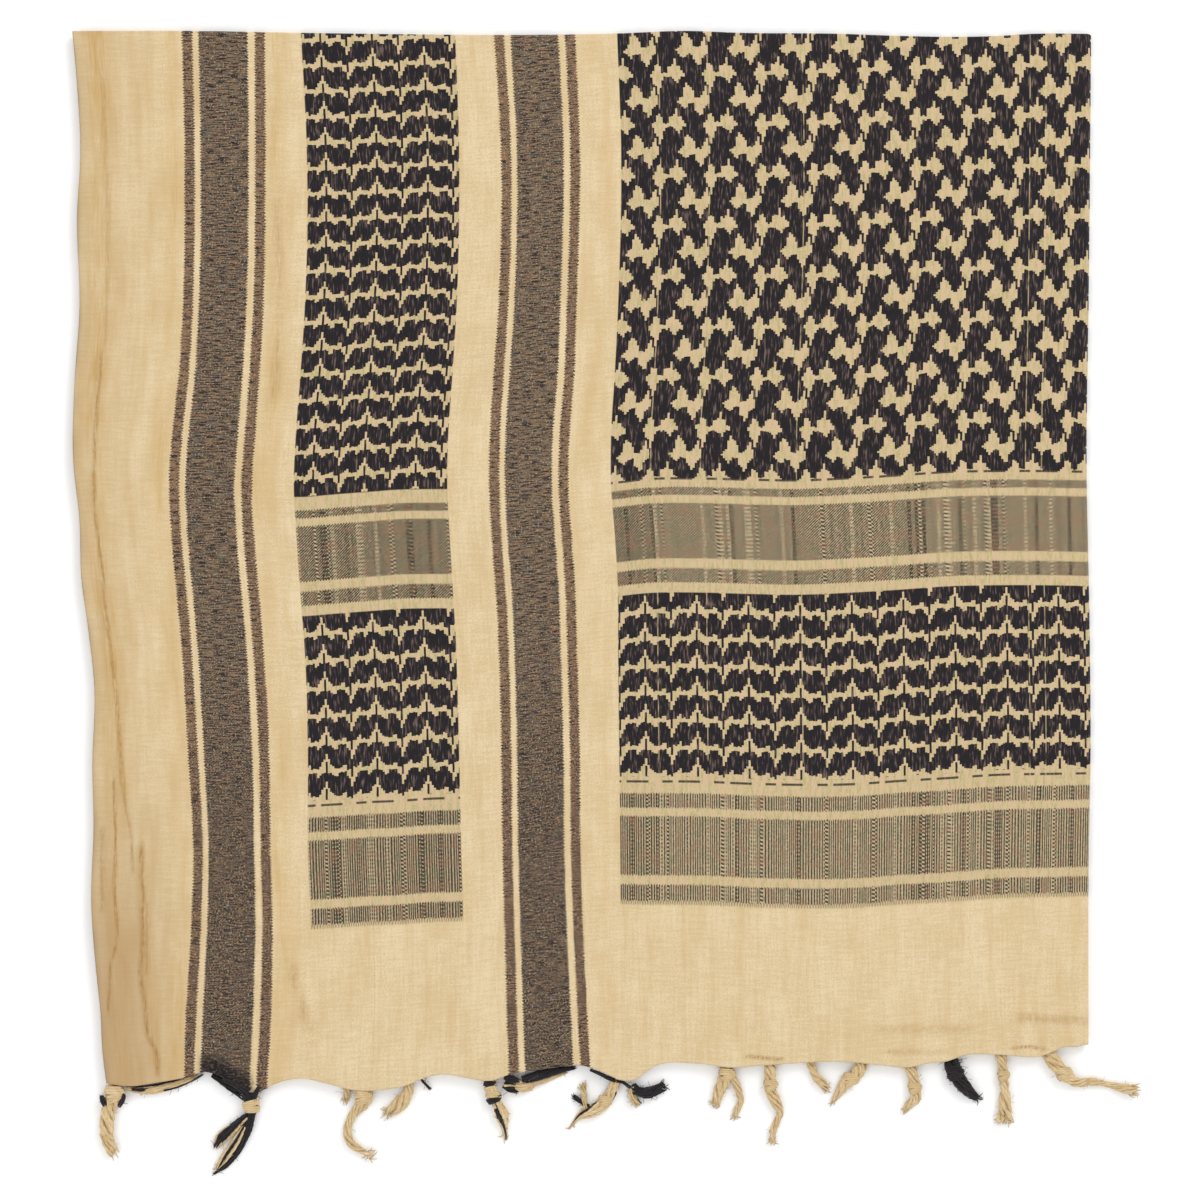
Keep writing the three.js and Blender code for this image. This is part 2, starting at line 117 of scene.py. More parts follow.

# Sharp lines of painted shadow along the creases, in brown: which way each runs, its half width, how
# dark it is, and its points as (along, aside). Along an `up` line, aside is across.
CREASE_SHADOW_LINES = [
    ("up", 1.0, 0.7, [(144, 23), (189, 20), (234, 14.7), (266, 11.6), (296, 8), (321, 8), (374, 11.6)]),
    ("up", 0.8, 0.85, [(28, 15), (39, 16), (54, 17), (59, 18.6), (93, 18.6), (120, 19), (150, 18)]),
    ("up", 1.4, 0.5, [(79, 12), (125, 12)]),
    ("up", 0.9, 0.55, [(101, 28.2), (124, 26.7), (136, 24.4), (150, 23.1)]),
    ("up", 1.3, 0.8, [(-6, 41), (6, 40.6), (15, 36.5), (30, 34.8), (49, 32.4), (59, 33.2), (116, 32.8)]),
    ("up", 1.2, 0.45, [(49, 35.3), (85, 35.8)]),
    ("up", 1.8, 0.5, [(18, 121.5), (36, 116), (55, 110)]),
    ("up", 1.0, 0.3, [(380, 14), (450, 14.8), (528, 12)]),
    ("up", 1.2, 0.35, [(350, 103), (400, 104.5), (534, 101.6)]),
    ("across", 0.9, 0.9, [(350, 4.5), (360, 3.4), (370, 2.6)]),
    ("across", 0.8, 0.8, [(491, 8.5), (500, 9.4), (509, 7.9)]),
    ("across", 2.4, 0.25, [(420, 19), (469, 19)]),
    ("across", 2.6, 0.35, [(493, 25), (531, 23.5)]),
    ("across", 1.5, 0.3, [(425, 6.8), (457, 6.8)]),
]

# Soft golden bands along the cloth: (across, half width, strength at the top, strength at the hem).
GOLDEN_BANDS = [(11, 7, 0.62, 0.4), (49, 5, 0.4, 0.3), (103, 6, 0.6, 0.4), (272, 7, 0.25, 0.2)]

# ---- how the weave has shifted ----
# Where the edges of the bands lie, up the cloth. The first row is where each one belongs.
WARP_UP = [-8, 18, 76, 113, 164, 224, 245, 276, 303, 334, 360, 397, 481, 543]
WARP_LINES = [
    (55.2, [55, 55.7, 58.9, 60, 57.1, 53.3, 51.4, 48.5, 47.1, 49, 52.1, 54.4, 55.4, 54]),
    (97.2, [98.4, 100, 101.2, 100.2, 99.5, 96.2, 94.4, 91.6, 90.3, 92.4, 94.2, 96.3, 97.6, 97.3]),
    (117.3, [122, 123, 122.5, 121, 121, 119, 117.3, 115.2, 113.7, 114.8, 116.9, 119.4, 120.5, 117.3]),
    (197.8, [201.2, 202.2, 202, 201, 199.8, 198, 196.8, 195, 193.6, 194.3, 196.1, 198.4, 199.8, 197.8]),
    (218.3, [226.3, 225.5, 223.9, 222.9, 222.3, 220.7, 219.7, 217.2, 215.9, 216.3, 217.9, 220.6, 222.1,
             218.3]),
    (261.2, [270, 268.6, 265.6, 264.4, 264, 262.4, 261.8, 259.9, 258, 258.7, 261, 262.2, 264.1, 261.5]),
    (283.5, [285.5, 285.5, 285.2, 285, 284.6, 284, 284, 282.5, 280.4, 280.4, 282, 283.9, 285.6, 283.5]),
]
FOLD_LINE = 531  # where the side fold lies in the weave

# How far the wefts have slipped down, across the cloth, at three heights.
WEFT_HEIGHTS = [113, 273, 510]
WEFT_ACROSS = [119, 137, 153, 169, 185, 198, 283, 298, 327, 353, 379, 405, 432, 458, 484, 511, 530]
WEFT_SLIPS = [
    [12.9, 11.9, 10.8, 10.2, 9, 8.6, -0.5, -0.2, 0, 1.1, 1.7, 1.6, -0.2, -1.7, -3.6, -4.2, -4.6],
    [12.4, 10.8, 9.6, 8.4, 8.2, 8.2, 2.2, 0.4, 0, 0.7, 1.1, 0, -1.6, -3.4, -3.9, -3.8, -3.4],
    [10.9, 10.3, 9.8, 9.3, 8.8, 8.3, 1, 0.5, 0, -0.5, -1.2, -2, -3.3, -4.4, -4.7, -5.2, -5.3],
]

# ---- the woven design ----
STRIP = (116.7, 197.8)  # the narrow figured panel
FIELD = (283.1, 545)  # the wide one, which goes on round the side fold
GROUP_SPACING = 163.1  # from the left group of warp stripes to the right one
THIN_STRIPES = [(55.2, 60.4), (92.3, 97.5)]
WIDE_STRIPE = (63.6, 88.7)
TWILL_BANDS = [(299.8, 303.9), (266.5, 295.5), (253.9, 261.3)]
PINSTRIPE_BANDS = [(135.0, 142.6), (99.5, 130.5), (86.1, 94.5)]
SMEAR_END = 84.0
LEAF_BAND = (151.5, 248.5)
HOOKS_END = 308.5
STRIP_LEAVES_END = 311.1
DASH_ROWS = [308.5, 148.9]
DASH_START = 305.6
DASHES = [(0, 5.6), (8.5, 20.0)]  # along each repeat
FLAW_LINES = [304.0, 329.8, 379.8, 499.2, 507.6]  # warp threads that show light through the hooks

REPEAT = 27.2  # width of one repeat of either figure
COLUMNS = 24
HOOK_LENGTH = 26.6
LEAF_LENGTH = 14.36
STRIP_LEAF_LENGTH = 13.47
PIN_PITCH = 1.28
TWILL_WIDTH = 1.5
TWILL_HEIGHT = 1.4
DOT_WIDTH = 1.9
DOT_PITCH = 2.05

# One repeat of the hooked field. A hash is the dark yarn, and each mark is two threads wide.
HOOKS = """
####.#########...#######
####..#########..#######
###....######.#.########
###....######.#.########
###.....####..#.########
###.....####..##########
##......###....#########
#..............#########
...............#########
#..............#########
##...###......##########
###.####.....###########
########....###########.
#########...###########.
##########..###########.
##########.###..######..
..############...###....
..############...###....
...##########....###....
....########............
....########............
..###########.....####..
.############.....#####.
.############....#######
""".split()

# One repeat of the leaves: two rows of leaves on each side of a stem.
LEAVES = """
############..##########
.###########..##########
.###########.###########
.###########.###########
..#####################.
#.####################..
#..#############.#####..
#...####..#####..####...
#.........###...........
#...........#...........
###...####..#...####..##
####..####..#..#####.###
###########.#..#########
""".split()

# ---- colours ----
STUDIO_LIGHT = 1.25  # how bright the lights make a white surface


def srgb(red, green, blue):
    """A colour given as it looks, from 0 to 255, in the linear numbers that shaders take."""
    shares = (red / 255, green / 255, blue / 255)
    return tuple(c / 12.92 if c < 0.04 else ((c + 0.055) / 1.055) ** 2.4 for c in shares) + (1.0,)


def dyed(red, green, blue):
    """The colour of cloth or yarn that looks like this under the studio light."""
    return tuple(c / STUDIO_LIGHT for c in srgb(red, green, blue)[:3]) + (1.0,)


CREAM = dyed(224, 198, 152)
CREAM_LIGHT = dyed(240, 218, 178)
GOLDEN = dyed(214, 176, 110)
# Painted shade: the cloth is darkened to this towards the selvage and the lower left.
LEFT_SHADE = dyed(190, 156, 112)
FIELD_LIGHT = dyed(217, 196, 153)
FIELD_PINK = dyed(222, 188, 152)
FIELD_GREEN = dyed(194, 178, 126)
BLACK = dyed(27, 21, 26)
PLUM = dyed(64, 51, 52)
FLECK = dyed(116, 98, 86)
STRIPE_DARK = dyed(46, 37, 38)
STRIPE_BROWN = dyed(148, 114, 86)
STRIPE_GREY = dyed(122, 112, 90)
STRIPE_BLUE = dyed(102, 97, 94)
# Painted shadow along the creases.
CREASE_SHADOW_BROWN = dyed(174, 132, 76)
OLIVE = dyed(112, 110, 80)
BAND_DARK = dyed(58, 46, 38)
BAND_LIGHT = dyed(212, 192, 154)
# Painted shadow along the selvage rim of each layer.
RIM_SHADOW = dyed(150, 128, 104)


# ---- outlines and coordinates ----
top_low, top_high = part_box("top_layer")
ORIGIN_X = top_low.x - SELVAGE[-1][1] * MM
ORIGIN_Y = top_high.y - TOP_FOLD[0][1] * MM


def to_row(points):
    """Millimetres on the folded cloth to metres in the shared frame."""
    return np.asarray(points, float) * MM + (ORIGIN_X, ORIGIN_Y, 0)


def curve(rows, where):
    """Reads a two-column table with a smooth curve through its rows."""
    x = np.array([row[0] for row in rows], float)
    y = np.array([row[1] for row in rows], float)
    slope = np.gradient(y, x)
    where = np.clip(where, x[0], x[-1])
    i = np.clip(np.searchsorted(x, where, side="right") - 1, 0, len(x) - 2)
    step = x[i + 1] - x[i]
    t = (where - x[i]) / step
    start = (2 * t**3 - 3 * t**2 + 1) * y[i] + (t**3 - 2 * t**2 + t) * step * slope[i]
    end = (3 * t**2 - 2 * t**3) * y[i + 1] + (t**3 - t**2) * step * slope[i + 1]
    return start + end


def smooth(t):
    t = np.clip(t, 0, 1)
    return t * t * (3 - 2 * t)


def weave_coordinates(across, up):
    """Where a point of the laid cloth is in the weave, allowing for the shifted warps and wefts."""
    edge = curve(SELVAGE, up)
    fold = curve(SIDE_FOLD, up)
    lines = [(0.0, edge)]
    for home, places in WARP_LINES:
        lines.append((home, curve(list(zip(WARP_UP, places)), up)))
    lines.append((FOLD_LINE, fold))
    u = np.zeros_like(across)
    for (home_a, line_a), (home_b, line_b) in zip(lines, lines[1:]):
        share = (across - line_a) / (line_b - line_a)
        inside = (share >= 0) & (share < 1)
        u[inside] = (home_a + share * (home_b - home_a))[inside]
    past = across >= fold
    u[past] = (FOLD_LINE + across - fold)[past]
    slips = [curve(list(zip(WEFT_ACROSS, row)), across) for row in WEFT_SLIPS]
    low, middle, high = WEFT_HEIGHTS
    lower = smooth((up - low) / (middle - low))
    upper = smooth((up - middle) / (high - middle))
    slip = slips[0] + (slips[1] - slips[0]) * lower + (slips[2] - slips[1]) * upper
    return u, up + slip


def crease_relief(across, up):
    """Height and golden tint that the creases give each point."""
    height = np.zeros_like(across)
    tint = np.zeros_like(across)
    for start, end, half_width, high, gold in CREASES:
        run = np.array(end, float) - start
        share = ((across - start[0]) * run[0] + (up - start[1]) * run[1]) / (run @ run)
        share = np.clip(share, 0, 1)
        away = np.hypot(across - start[0] - share * run[0], up - start[1] - share * run[1])
        height += high * np.exp(-((away / half_width) ** 2))
        tint = np.maximum(tint, 0.6 * gold * np.exp(-((away / (0.8 * half_width)) ** 2)))
    return height, tint


def crease_shadow_lines(across, up):
    """How much painted shadow each point has: up to 1 along the sharp lines."""
    total = np.zeros_like(across)
    for way, half_width, dark, points in CREASE_SHADOW_LINES:
        along, aside = (up, across) if way == "up" else (across, up)
        first = points[0][0]
        last = points[-1][0]
        away = (aside - curve(points, along)) / half_width
        fade = min(4, (last - first) / 3)
        ends = smooth((along - first) / fade + 0.5) * smooth((last - along) / fade + 0.5)
        total = np.maximum(total, dark * ends * np.exp(-(away**2)))
    return total


def soft_waves(across, up, length, seed):
    """Slow unevenness of about 1 either way, with no direction of its own."""
    rng = np.random.default_rng(seed)
    total = np.zeros_like(across)
    for _ in range(9):
        angle = rng.uniform(0, math.pi)
        wavelength = length * rng.uniform(0.6, 1.7)
        phase = rng.uniform(0, 2 * math.pi)
        along = across * math.cos(angle) + up * math.sin(angle)
        total += np.sin(2 * math.pi * along / wavelength + phase)
    return total / 3


# ---- node tools ----
class Signal:
    """A number that varies over a surface. Arithmetic on it adds Math nodes to its material."""

    def __init__(self, tree, socket):
        self.tree = tree
        self.socket = socket

    def maths(self, operation, *others):
        node = self.tree.nodes.new("ShaderNodeMath")
        node.operation = operation
        for socket, value in zip(node.inputs, (self, *others)):
            feed(self.tree, socket, value)
        return Signal(self.tree, node.outputs[0])

    def __add__(self, other):
        return self.maths("ADD", other)

    def __sub__(self, other):
        return self.maths("SUBTRACT", other)

    def __mul__(self, other):
        return self.maths("MULTIPLY", other)

    def __truediv__(self, other):
        return self.maths("DIVIDE", other)

    def floor(self):
        return self.maths("FLOOR")

    def wrapped(self, length):
        return self.maths("FLOORED_MODULO", length)

    def over(self, other):
        """The larger of the two."""
        return self.maths("MAXIMUM", other)

    def outside(self):
        """What is left of 1."""
        return self * -1 + 1

    def above(self, edge, soft=0.25):
        """1 where this is over the edge, 0 where it is under, with a soft step."""
        node = self.tree.nodes.new("ShaderNodeMapRange")
        node.interpolation_type = "SMOOTHSTEP"
        feed(self.tree, node.inputs["Value"], self)
        node.inputs["From Min"].default_value = edge - soft
        node.inputs["From Max"].default_value = edge + soft
        return Signal(self.tree, node.outputs["Result"])

    def within(self, span, soft=0.25):
        return self.above(span[0], soft) * self.above(span[1], soft).outside()

    def within_any(self, spans, soft=0.25):
        total = self.within(spans[0], soft)
        for span in spans[1:]:
            total = total + self.within(span, soft)
        return total

    def wave(self):
        """A wave from 0 to 1 with a length of 1."""
        return (self * (2 * math.pi)).maths("SINE") * 0.5 + 0.5


def feed(tree, socket, value):
    """Links a signal or a socket to an input, or sets the input to a number or colour."""
    if isinstance(value, Signal):
        tree.links.new(value.socket, socket)
    elif isinstance(value, bpy.types.NodeSocket):
        tree.links.new(value, socket)
    else:
        socket.default_value = value


def pair(x, y):
    """Two signals as one vector socket."""
    node = x.tree.nodes.new("ShaderNodeCombineXYZ")
    feed(x.tree, node.inputs[0], x)
    feed(x.tree, node.inputs[1], y)
    return node.outputs[0]


def noise(x, y, detail=1, offset=0):
    """Smooth noise from 0 to 1 over two signals, with features about 1 across."""
    node = x.tree.nodes.new("ShaderNodeTexNoise")
    node.noise_dimensions = "2D"
    feed(x.tree, node.inputs["Vector"], pair(x + offset, y + offset))
    node.inputs["Scale"].default_value = 1
    node.inputs["Detail"].default_value = detail
    return Signal(x.tree, node.outputs[0])


def speckle(x, y):
    """A random number from 0 to 1 for each whole value of the two signals."""
    node = x.tree.nodes.new("ShaderNodeTexWhiteNoise")
    node.noise_dimensions = "2D"
    feed(x.tree, node.inputs["Vector"], pair(x.floor(), y.floor()))
    return Signal(x.tree, node.outputs[0])


def blend(share, first, second):
    """A colour that goes from the first to the second as share goes from 0 to 1."""
    node = share.tree.nodes.new("ShaderNodeMix")
    node.data_type = "RGBA"
    feed(share.tree, node.inputs[0], share)
    feed(share.tree, node.inputs[6], first)
    feed(share.tree, node.inputs[7], second)
    return node.outputs[2]


def charted(rows, column, row):
    """Reads a chart of text rows at two signals: 1 at a hash and 0 at a dot.

    Each row's 24 marks are three bytes, kept as the red, green and blue of one stop of a stepped ramp.
    """
    tree = column.tree
    ramp = tree.nodes.new("ShaderNodeValToRGB")
    ramp.color_ramp.interpolation = "CONSTANT"
    stops = ramp.color_ramp.elements
    while len(stops) < len(rows):
        stops.new(len(stops) / len(rows))
    for k, text in enumerate(rows):
        marks = [1 if mark == "#" else 0 for mark in text]
        octets = [marks[first : first + 8] for first in (0, 8, 16)]
        values = [sum(bit << place for place, bit in enumerate(octet)) / 255 for octet in octets]
        stops[k].position = k / len(rows)
        stops[k].color = (*values, 1.0)
    row = row.wrapped(len(rows)).floor()
    feed(tree, ramp.inputs[0], (row + 0.5) / len(rows))
    split = tree.nodes.new("ShaderNodeSeparateColor")
    tree.links.new(ramp.outputs[0], split.inputs[0])
    column = column.wrapped(COLUMNS).floor()
    third = (column / 8).floor()
    value = Signal(tree, split.outputs[0]) * third.maths("COMPARE", 0, 0.1)
    value = value + Signal(tree, split.outputs[1]) * third.maths("COMPARE", 1, 0.1)
    value = value + Signal(tree, split.outputs[2]) * third.maths("COMPARE", 2, 0.1)
    place = column - third * 8
    power = (place * math.log(2)).maths("EXPONENT")
    return ((value * 255 + 0.5).floor() / power + 0.002).floor().wrapped(2)


def new_material(name):
    material = bpy.data.materials.new(name)
    material.use_nodes = True
    tree = material.node_tree
    shader = tree.nodes["Principled BSDF"]
    return material, tree, shader


def attribute(tree, name):
    """The three numbers that each vertex holds under a name."""
    node = tree.nodes.new("ShaderNodeAttribute")
    node.attribute_name = name
    split = tree.nodes.new("ShaderNodeSeparateXYZ")
    tree.links.new(node.outputs["Vector"], split.inputs[0])
    return [Signal(tree, output) for output in split.outputs]


def add_bump(tree, shader, height, depth):
    """Bump from a height signal of 0 to 1, depth metres high."""
    node = tree.nodes.new("ShaderNodeBump")
    node.inputs["Strength"].default_value = 1.0
    node.inputs["Distance"].default_value = depth
    feed(tree, node.inputs["Height"], height)
    tree.links.new(node.outputs[0], shader.inputs["Normal"])


# ---- materials ----
def plain_cloth(u, v, tint_and_shade, crease_shadow):
    """Plain weave: fine threads both ways, slow streaks along the warp, golden bands, painted shade towards
    the lower left, a painted shadow at the rim and painted shadow lines along the creases.
    """
    gold, rim, left_shade = tint_and_shade
    threads = noise(u, v, 2)
    warp_streaks = noise(u / 1.9, v / 34, 3)
    fine_warps = noise(u / 1.1, v / 12, 2, 41)
    weft_streaks = noise(u / 12, v / 1.2, 2)
    patches = noise(u / 7, v / 50, 3)
    clouds = noise(u / 22, v / 30, 3, 23)
    pale = (threads - 0.5) * 1.9 + (warp_streaks - 0.5) * 0.8 + (weft_streaks - 0.5) * 1.2
    pale = pale + (fine_warps - 0.5) * 0.8 + (clouds - 0.5) * 1.3 + 0.42
    plain = blend(pale, CREAM, CREAM_LIGHT)
    golden = gold * ((fine_warps - 0.5) * 2.4 + (warp_streaks - 0.5) * 1.8 + 0.95) + (patches - 0.52) * 0.9
    plain = blend(golden.over(0), plain, GOLDEN)
    # Painted shade towards the selvage and the lower left.
    plain = blend(left_shade + (patches - 0.5) * 0.3 + (threads - 0.5) * 0.25, plain, LEFT_SHADE)
    # Painted shadow along the selvage rim.
    plain = blend(rim, plain, RIM_SHADOW)
    # Painted shadow lines along the creases, broken by the threads.
    broken = noise(u / 1.5, v / 3, 2, 87)
    plain = blend(crease_shadow * (fine_warps * 1.6 + broken * 1.6 - 0.8), plain, CREASE_SHADOW_BROWN)
    return plain, threads, warp_streaks


def warp_stripes(u, v):
    """The two groups of warp stripes, with saw-toothed edges: where they are, their colour and wefts."""
    second_group = u.above(150, 0.1)
    group = u - second_group * GROUP_SPACING
    teeth = ((v / TWILL_WIDTH + noise(u / 3, v / 8, 1, 15) * 2).wave() - 0.5) * 0.9
    toothed = group + teeth + (noise(u / 3, v / 9) - 0.5) * 0.8
    thin = toothed.within_any(THIN_STRIPES, 0.2)
    wide = toothed.within(WIDE_STRIPE, 0.2)
    low_down = v.above(190, 70).outside()
    wefts = noise(u / 6, v / 0.62, 2)
    hues = noise(u / 7, v / 0.9, 2, 31)
    cool = noise(u / 8, v / 1.4, 2, 63)
    grain = noise(u / 0.85, v / 0.85, 1, 5)
    twill = (u / TWILL_WIDTH - v / TWILL_HEIGHT).wave() - 0.5
    twill_patch = noise(u / 6, v / 14, 1, 7).above(0.52, 0.06) * (low_down * 0.8 + 0.5)
    dark_share = (wefts - 0.5) * (low_down * -2.4 + 5.4) + (grain - 0.5) * (low_down + 1.6)
    dark_share = dark_share + twill * twill_patch - thin * 0.12 - second_group * low_down.outside() * 0.07
    stripe = blend((hues - 0.5) * 3.0 - thin * 0.5 + 0.5, STRIPE_BROWN, STRIPE_GREY)
    stripe = blend((cool - 0.52) * 4.0 - thin, stripe, STRIPE_BLUE)
    stripe = blend(dark_share + low_down * 0.18 + 0.41, stripe, STRIPE_DARK)
    pinpricks = noise(u / 0.9, v / 0.9, 1, 71).above(0.68, 0.05)
    return thin + wide, blend(pinpricks * 0.55, stripe, BAND_LIGHT), wefts


def woven_figure(u, v, in_strip, in_field):
    """The dark figure: hooks in the field, leaves in the strip and across both, and rows of dashes."""
    in_panel = in_strip + in_field
    wobble = (noise(u / 2.2, v / 4.0, 1, 3) - 0.5) * 0.3
    field_column = (u + wobble - FIELD[0] - 2.95) * (COLUMNS / REPEAT)
    thread_end = (noise(field_column.floor() * 5.37, v / 5) - 0.5) * 2.4
    hook_row = (v - HOOKS_END) * (-COLUMNS / HOOK_LENGTH) + 20 + thread_end
    hooks = charted(HOOKS, field_column, hook_row) * v.above(HOOKS_END, 0.3) * in_field

    leaf_start = in_field * (FIELD[0] + 14.2) + in_field.outside() * (STRIP[0] + 10.0)
    leaf_column = (u + wobble - leaf_start) * (COLUMNS / REPEAT) + 0.5
    leaf_end = (noise(leaf_column.floor() * 5.37 + 90, v / 5) - 0.5) * 1.8
    upper = v.above(STRIP_LEAVES_END, 0.3)
    upper_row = (v - STRIP_LEAVES_END) * (-len(LEAVES) / STRIP_LEAF_LENGTH) + 5.5
    lower_row = (v - LEAF_BAND[1]) * (-len(LEAVES) / LEAF_LENGTH)
    leaves = charted(LEAVES, leaf_column, upper_row * upper + lower_row * upper.outside() + leaf_end)
    figure = hooks + leaves * (upper * in_strip + v.within(LEAF_BAND, 0.3) * in_panel)

    in_repeat = (u - DASH_START).wrapped(REPEAT)
    dash_rows = v.within((DASH_ROWS[0] - 0.6, DASH_ROWS[0] + 0.6), 0.2) * in_field
    dash_rows = dash_rows + v.within((DASH_ROWS[1] - 0.6, DASH_ROWS[1] + 0.6), 0.2) * in_panel
    figure = figure.over(in_repeat.within_any(DASHES, 0.4) * dash_rows * 0.9)
    flaws = u.within_any([(line - 0.25, line + 0.25) for line in FLAW_LINES], 0.2)
    return figure * (flaws * noise(u * 0, v / 9).above(0.45, 0.1) * 0.8).outside()


def figure_colours(u, v):
    """The dark yarn of the figure, the light ground round it, and the fibres of the dark yarn."""
    fibres = noise(u / 0.95, v / 6, 2)
    broad = noise(u / 3.0, v / 10, 2, 17)
    dark = blend((fibres - 0.5) * 6.0 + (broad - 0.5) * 3.0, BLACK, PLUM)
    dark = blend((fibres - 0.61) * 6.0 + (broad - 0.5) * 2.6, dark, FLECK)
    streaks = noise(u / 1.1, v / 7, 2, 51)
    grain = noise(u / 1.1, v / 1.1, 1, 57)
    light = blend((noise(u / 2.2, v / 9, 1, 51) - 0.4) * 4, FIELD_GREEN, FIELD_PINK)
    light = blend((streaks - 0.5) * 3.0 + (grain - 0.5) * 2.0 + 0.48, light, FIELD_LIGHT)
    return dark, light, fibres


def mixed_bands(u, v, in_strip, in_field):
    """Bands across both panels: twill above, pinstripes below, with odd columns of dots."""
    notched = v + ((u / TWILL_WIDTH).wave() - 0.5) * 0.8
    twill_band = notched.within_any(TWILL_BANDS, 0.2)
    pin_band = notched.within_any(PINSTRIPE_BANDS, 0.2)
    odd = speckle(u / DOT_WIDTH, v * 0)
    light_dots = odd.above(0.9, 0.01)
    dark_dots = odd.above(0.1, 0.01).outside()
    patch = noise(u / 5, v * 0 + 4.0, 1).above(0.63, 0.02)
    beads = (v / DOT_PITCH).wave()
    checks = ((u / DOT_WIDTH).floor() * 0.5 + v / DOT_PITCH + u * 0.12).wave() * 1.6 - 0.36
    column_tone = (noise(u / 2.2, v * 0 + 9.0, 2) - 0.5) * 0.5
    grain_tone = (noise(u / 1.3, v / 1.3, 2, 13) - 0.5) * 1.2
    field_edge = u.above(302, 6.0).outside() * in_field
    panel_tone = column_tone + grain_tone - in_strip * 0.12 - field_edge * 0.14
    dot_light = beads * light_dots * 0.7 - beads * dark_dots * 0.8
    fine_twill = (u / TWILL_WIDTH - v / TWILL_HEIGHT).wave() * 0.95 - 0.1
    twill_light = fine_twill * patch.outside() + checks * patch + dot_light + panel_tone
    pins = (u / PIN_PITCH + noise(u / 12, v * 0 + 2.0) * 3).wave() * 1.2 - 0.14
    pin_light = pins * patch.outside() + checks * patch + dot_light * 0.8
    pin_light = pin_light + panel_tone * 0.7 - in_strip * 0.08
    mixed = blend(twill_light * twill_band + pin_light * pin_band, BAND_DARK, BAND_LIGHT)
    blotches = noise(u / 6, v / 7, 2, 77)
    mixed = blend(blotches.above(0.56, 0.08) * 0.4, mixed, STRIPE_BROWN)
    mixed = blend(blotches.above(0.44, 0.08).outside() * 0.3, mixed, OLIVE)
    ragged_end = v + (noise(u / 0.9, v * 0 + 6.0) - 0.5) * 2.0
    smear = ragged_end.within((SMEAR_END, PINSTRIPE_BANDS[-1][0]), 0.4) * pins * 0.5
    return twill_band + pin_band, mixed, smear, twill_light


def cloth_material():
    material, tree, shader = new_material("patterned_cloth")
    u, v, _ = attribute(tree, "weave")
    # Painted shadow along the creases, and where the dark stripe is gathered.
    crease_shadow, gathered, _ = attribute(tree, "marks")
    in_strip = u.within(STRIP, 0.3)
    in_field = u.within(FIELD, 0.3)
    in_panel = in_strip + in_field

    # Golden tint, painted shadow at the rim and painted shade towards the lower left.
    plain, threads, warp_streaks = plain_cloth(u, v, attribute(tree, "tint_and_shade"), crease_shadow)
    striped, stripe, wefts = warp_stripes(u, v)
    figure = woven_figure(u, v, in_strip, in_field)
    dark, light, fibres = figure_colours(u, v)
    banded, mixed, smear, twill_light = mixed_bands(u, v, in_strip, in_field)
    banded = banded * in_panel

    colour = blend(striped, plain, stripe)
    colour = blend(v.above(SMEAR_END, 2.0) * in_panel, colour, light)
    colour = blend(figure, colour, dark)
    colour = blend(banded, colour, mixed)
    colour = blend(smear * in_panel, colour, BAND_DARK)
    colour = blend(gathered * (noise(u / 2, v / 1.2, 2, 19) * 1.6 + 0.1), colour, BLACK)
    tree.links.new(colour, shader.inputs["Base Color"])

    raised = figure * fibres * 0.7 + figure * 0.2 + threads * 0.35 + warp_streaks * 0.2 - crease_shadow * 0.5
    raised = raised + striped * wefts * 0.6 + banded * twill_light * 0.3
    add_bump(tree, shader, raised, 0.00025)
    feed(tree, shader.inputs["Roughness"], figure * -0.12 + 0.92)
    shader.inputs["Specular IOR Level"].default_value = 0.25
    shader.inputs["Sheen Weight"].default_value = 0.12
    shader.inputs["Sheen Roughness"].default_value = 0.5
    return material


def yarn_material(name, base, shade, highlight):
    """Twisted yarn: fibres that wind round it, darker in its grooves."""
    material, tree, shader = new_material(name)
    along, turn, chance = attribute(tree, "fibre")
    fibres = noise(turn * 9 + along / 2.2, along / 5, 3)
    patches = noise(along / 4, chance * 40, 2)
    tint = (fibres - 0.5) * 1.6 + (patches - 0.5) * 0.9 + 0.4
    colour = blend(tint, shade, base)
    colour = blend((fibres - 0.55) * 3.0 + (chance - 0.5) * 0.4, colour, highlight)
    tree.links.new(colour, shader.inputs["Base Color"])
    add_bump(tree, shader, fibres + patches * 0.3, 0.0003)
    feed(tree, shader.inputs["Roughness"], fibres * -0.15 + 0.97)
    shader.inputs["Specular IOR Level"].default_value = 0.25
    shader.inputs["Sheen Weight"].default_value = 0.15
    return material


def floor_material():
    material, tree, shader = new_material("pale_floor")
    place = tree.nodes.new("ShaderNodeTexCoord")
    split = tree.nodes.new("ShaderNodeSeparateXYZ")
    tree.links.new(place.outputs["Object"], split.inputs[0])
    x = Signal(tree, split.outputs[0])
    y = Signal(tree, split.outputs[1])
    grain = noise(x * 900, y * 900, 2)
    colour = blend(grain, srgb(250, 250, 250), srgb(253, 253, 253))
    tree.links.new(colour, shader.inputs["Base Color"])
    shader.inputs["Roughness"].default_value = 0.9
    shader.inputs["Specular IOR Level"].default_value = 0.1
    return material


# ---- sheets ----
def steps(start, end, widest):
    """Evenly spaced stops from start up to end, no further apart than widest, without the end."""
    count = max(1, math.ceil((end - start) / widest))
    return [start + (end - start) * k / count for k in range(count)]


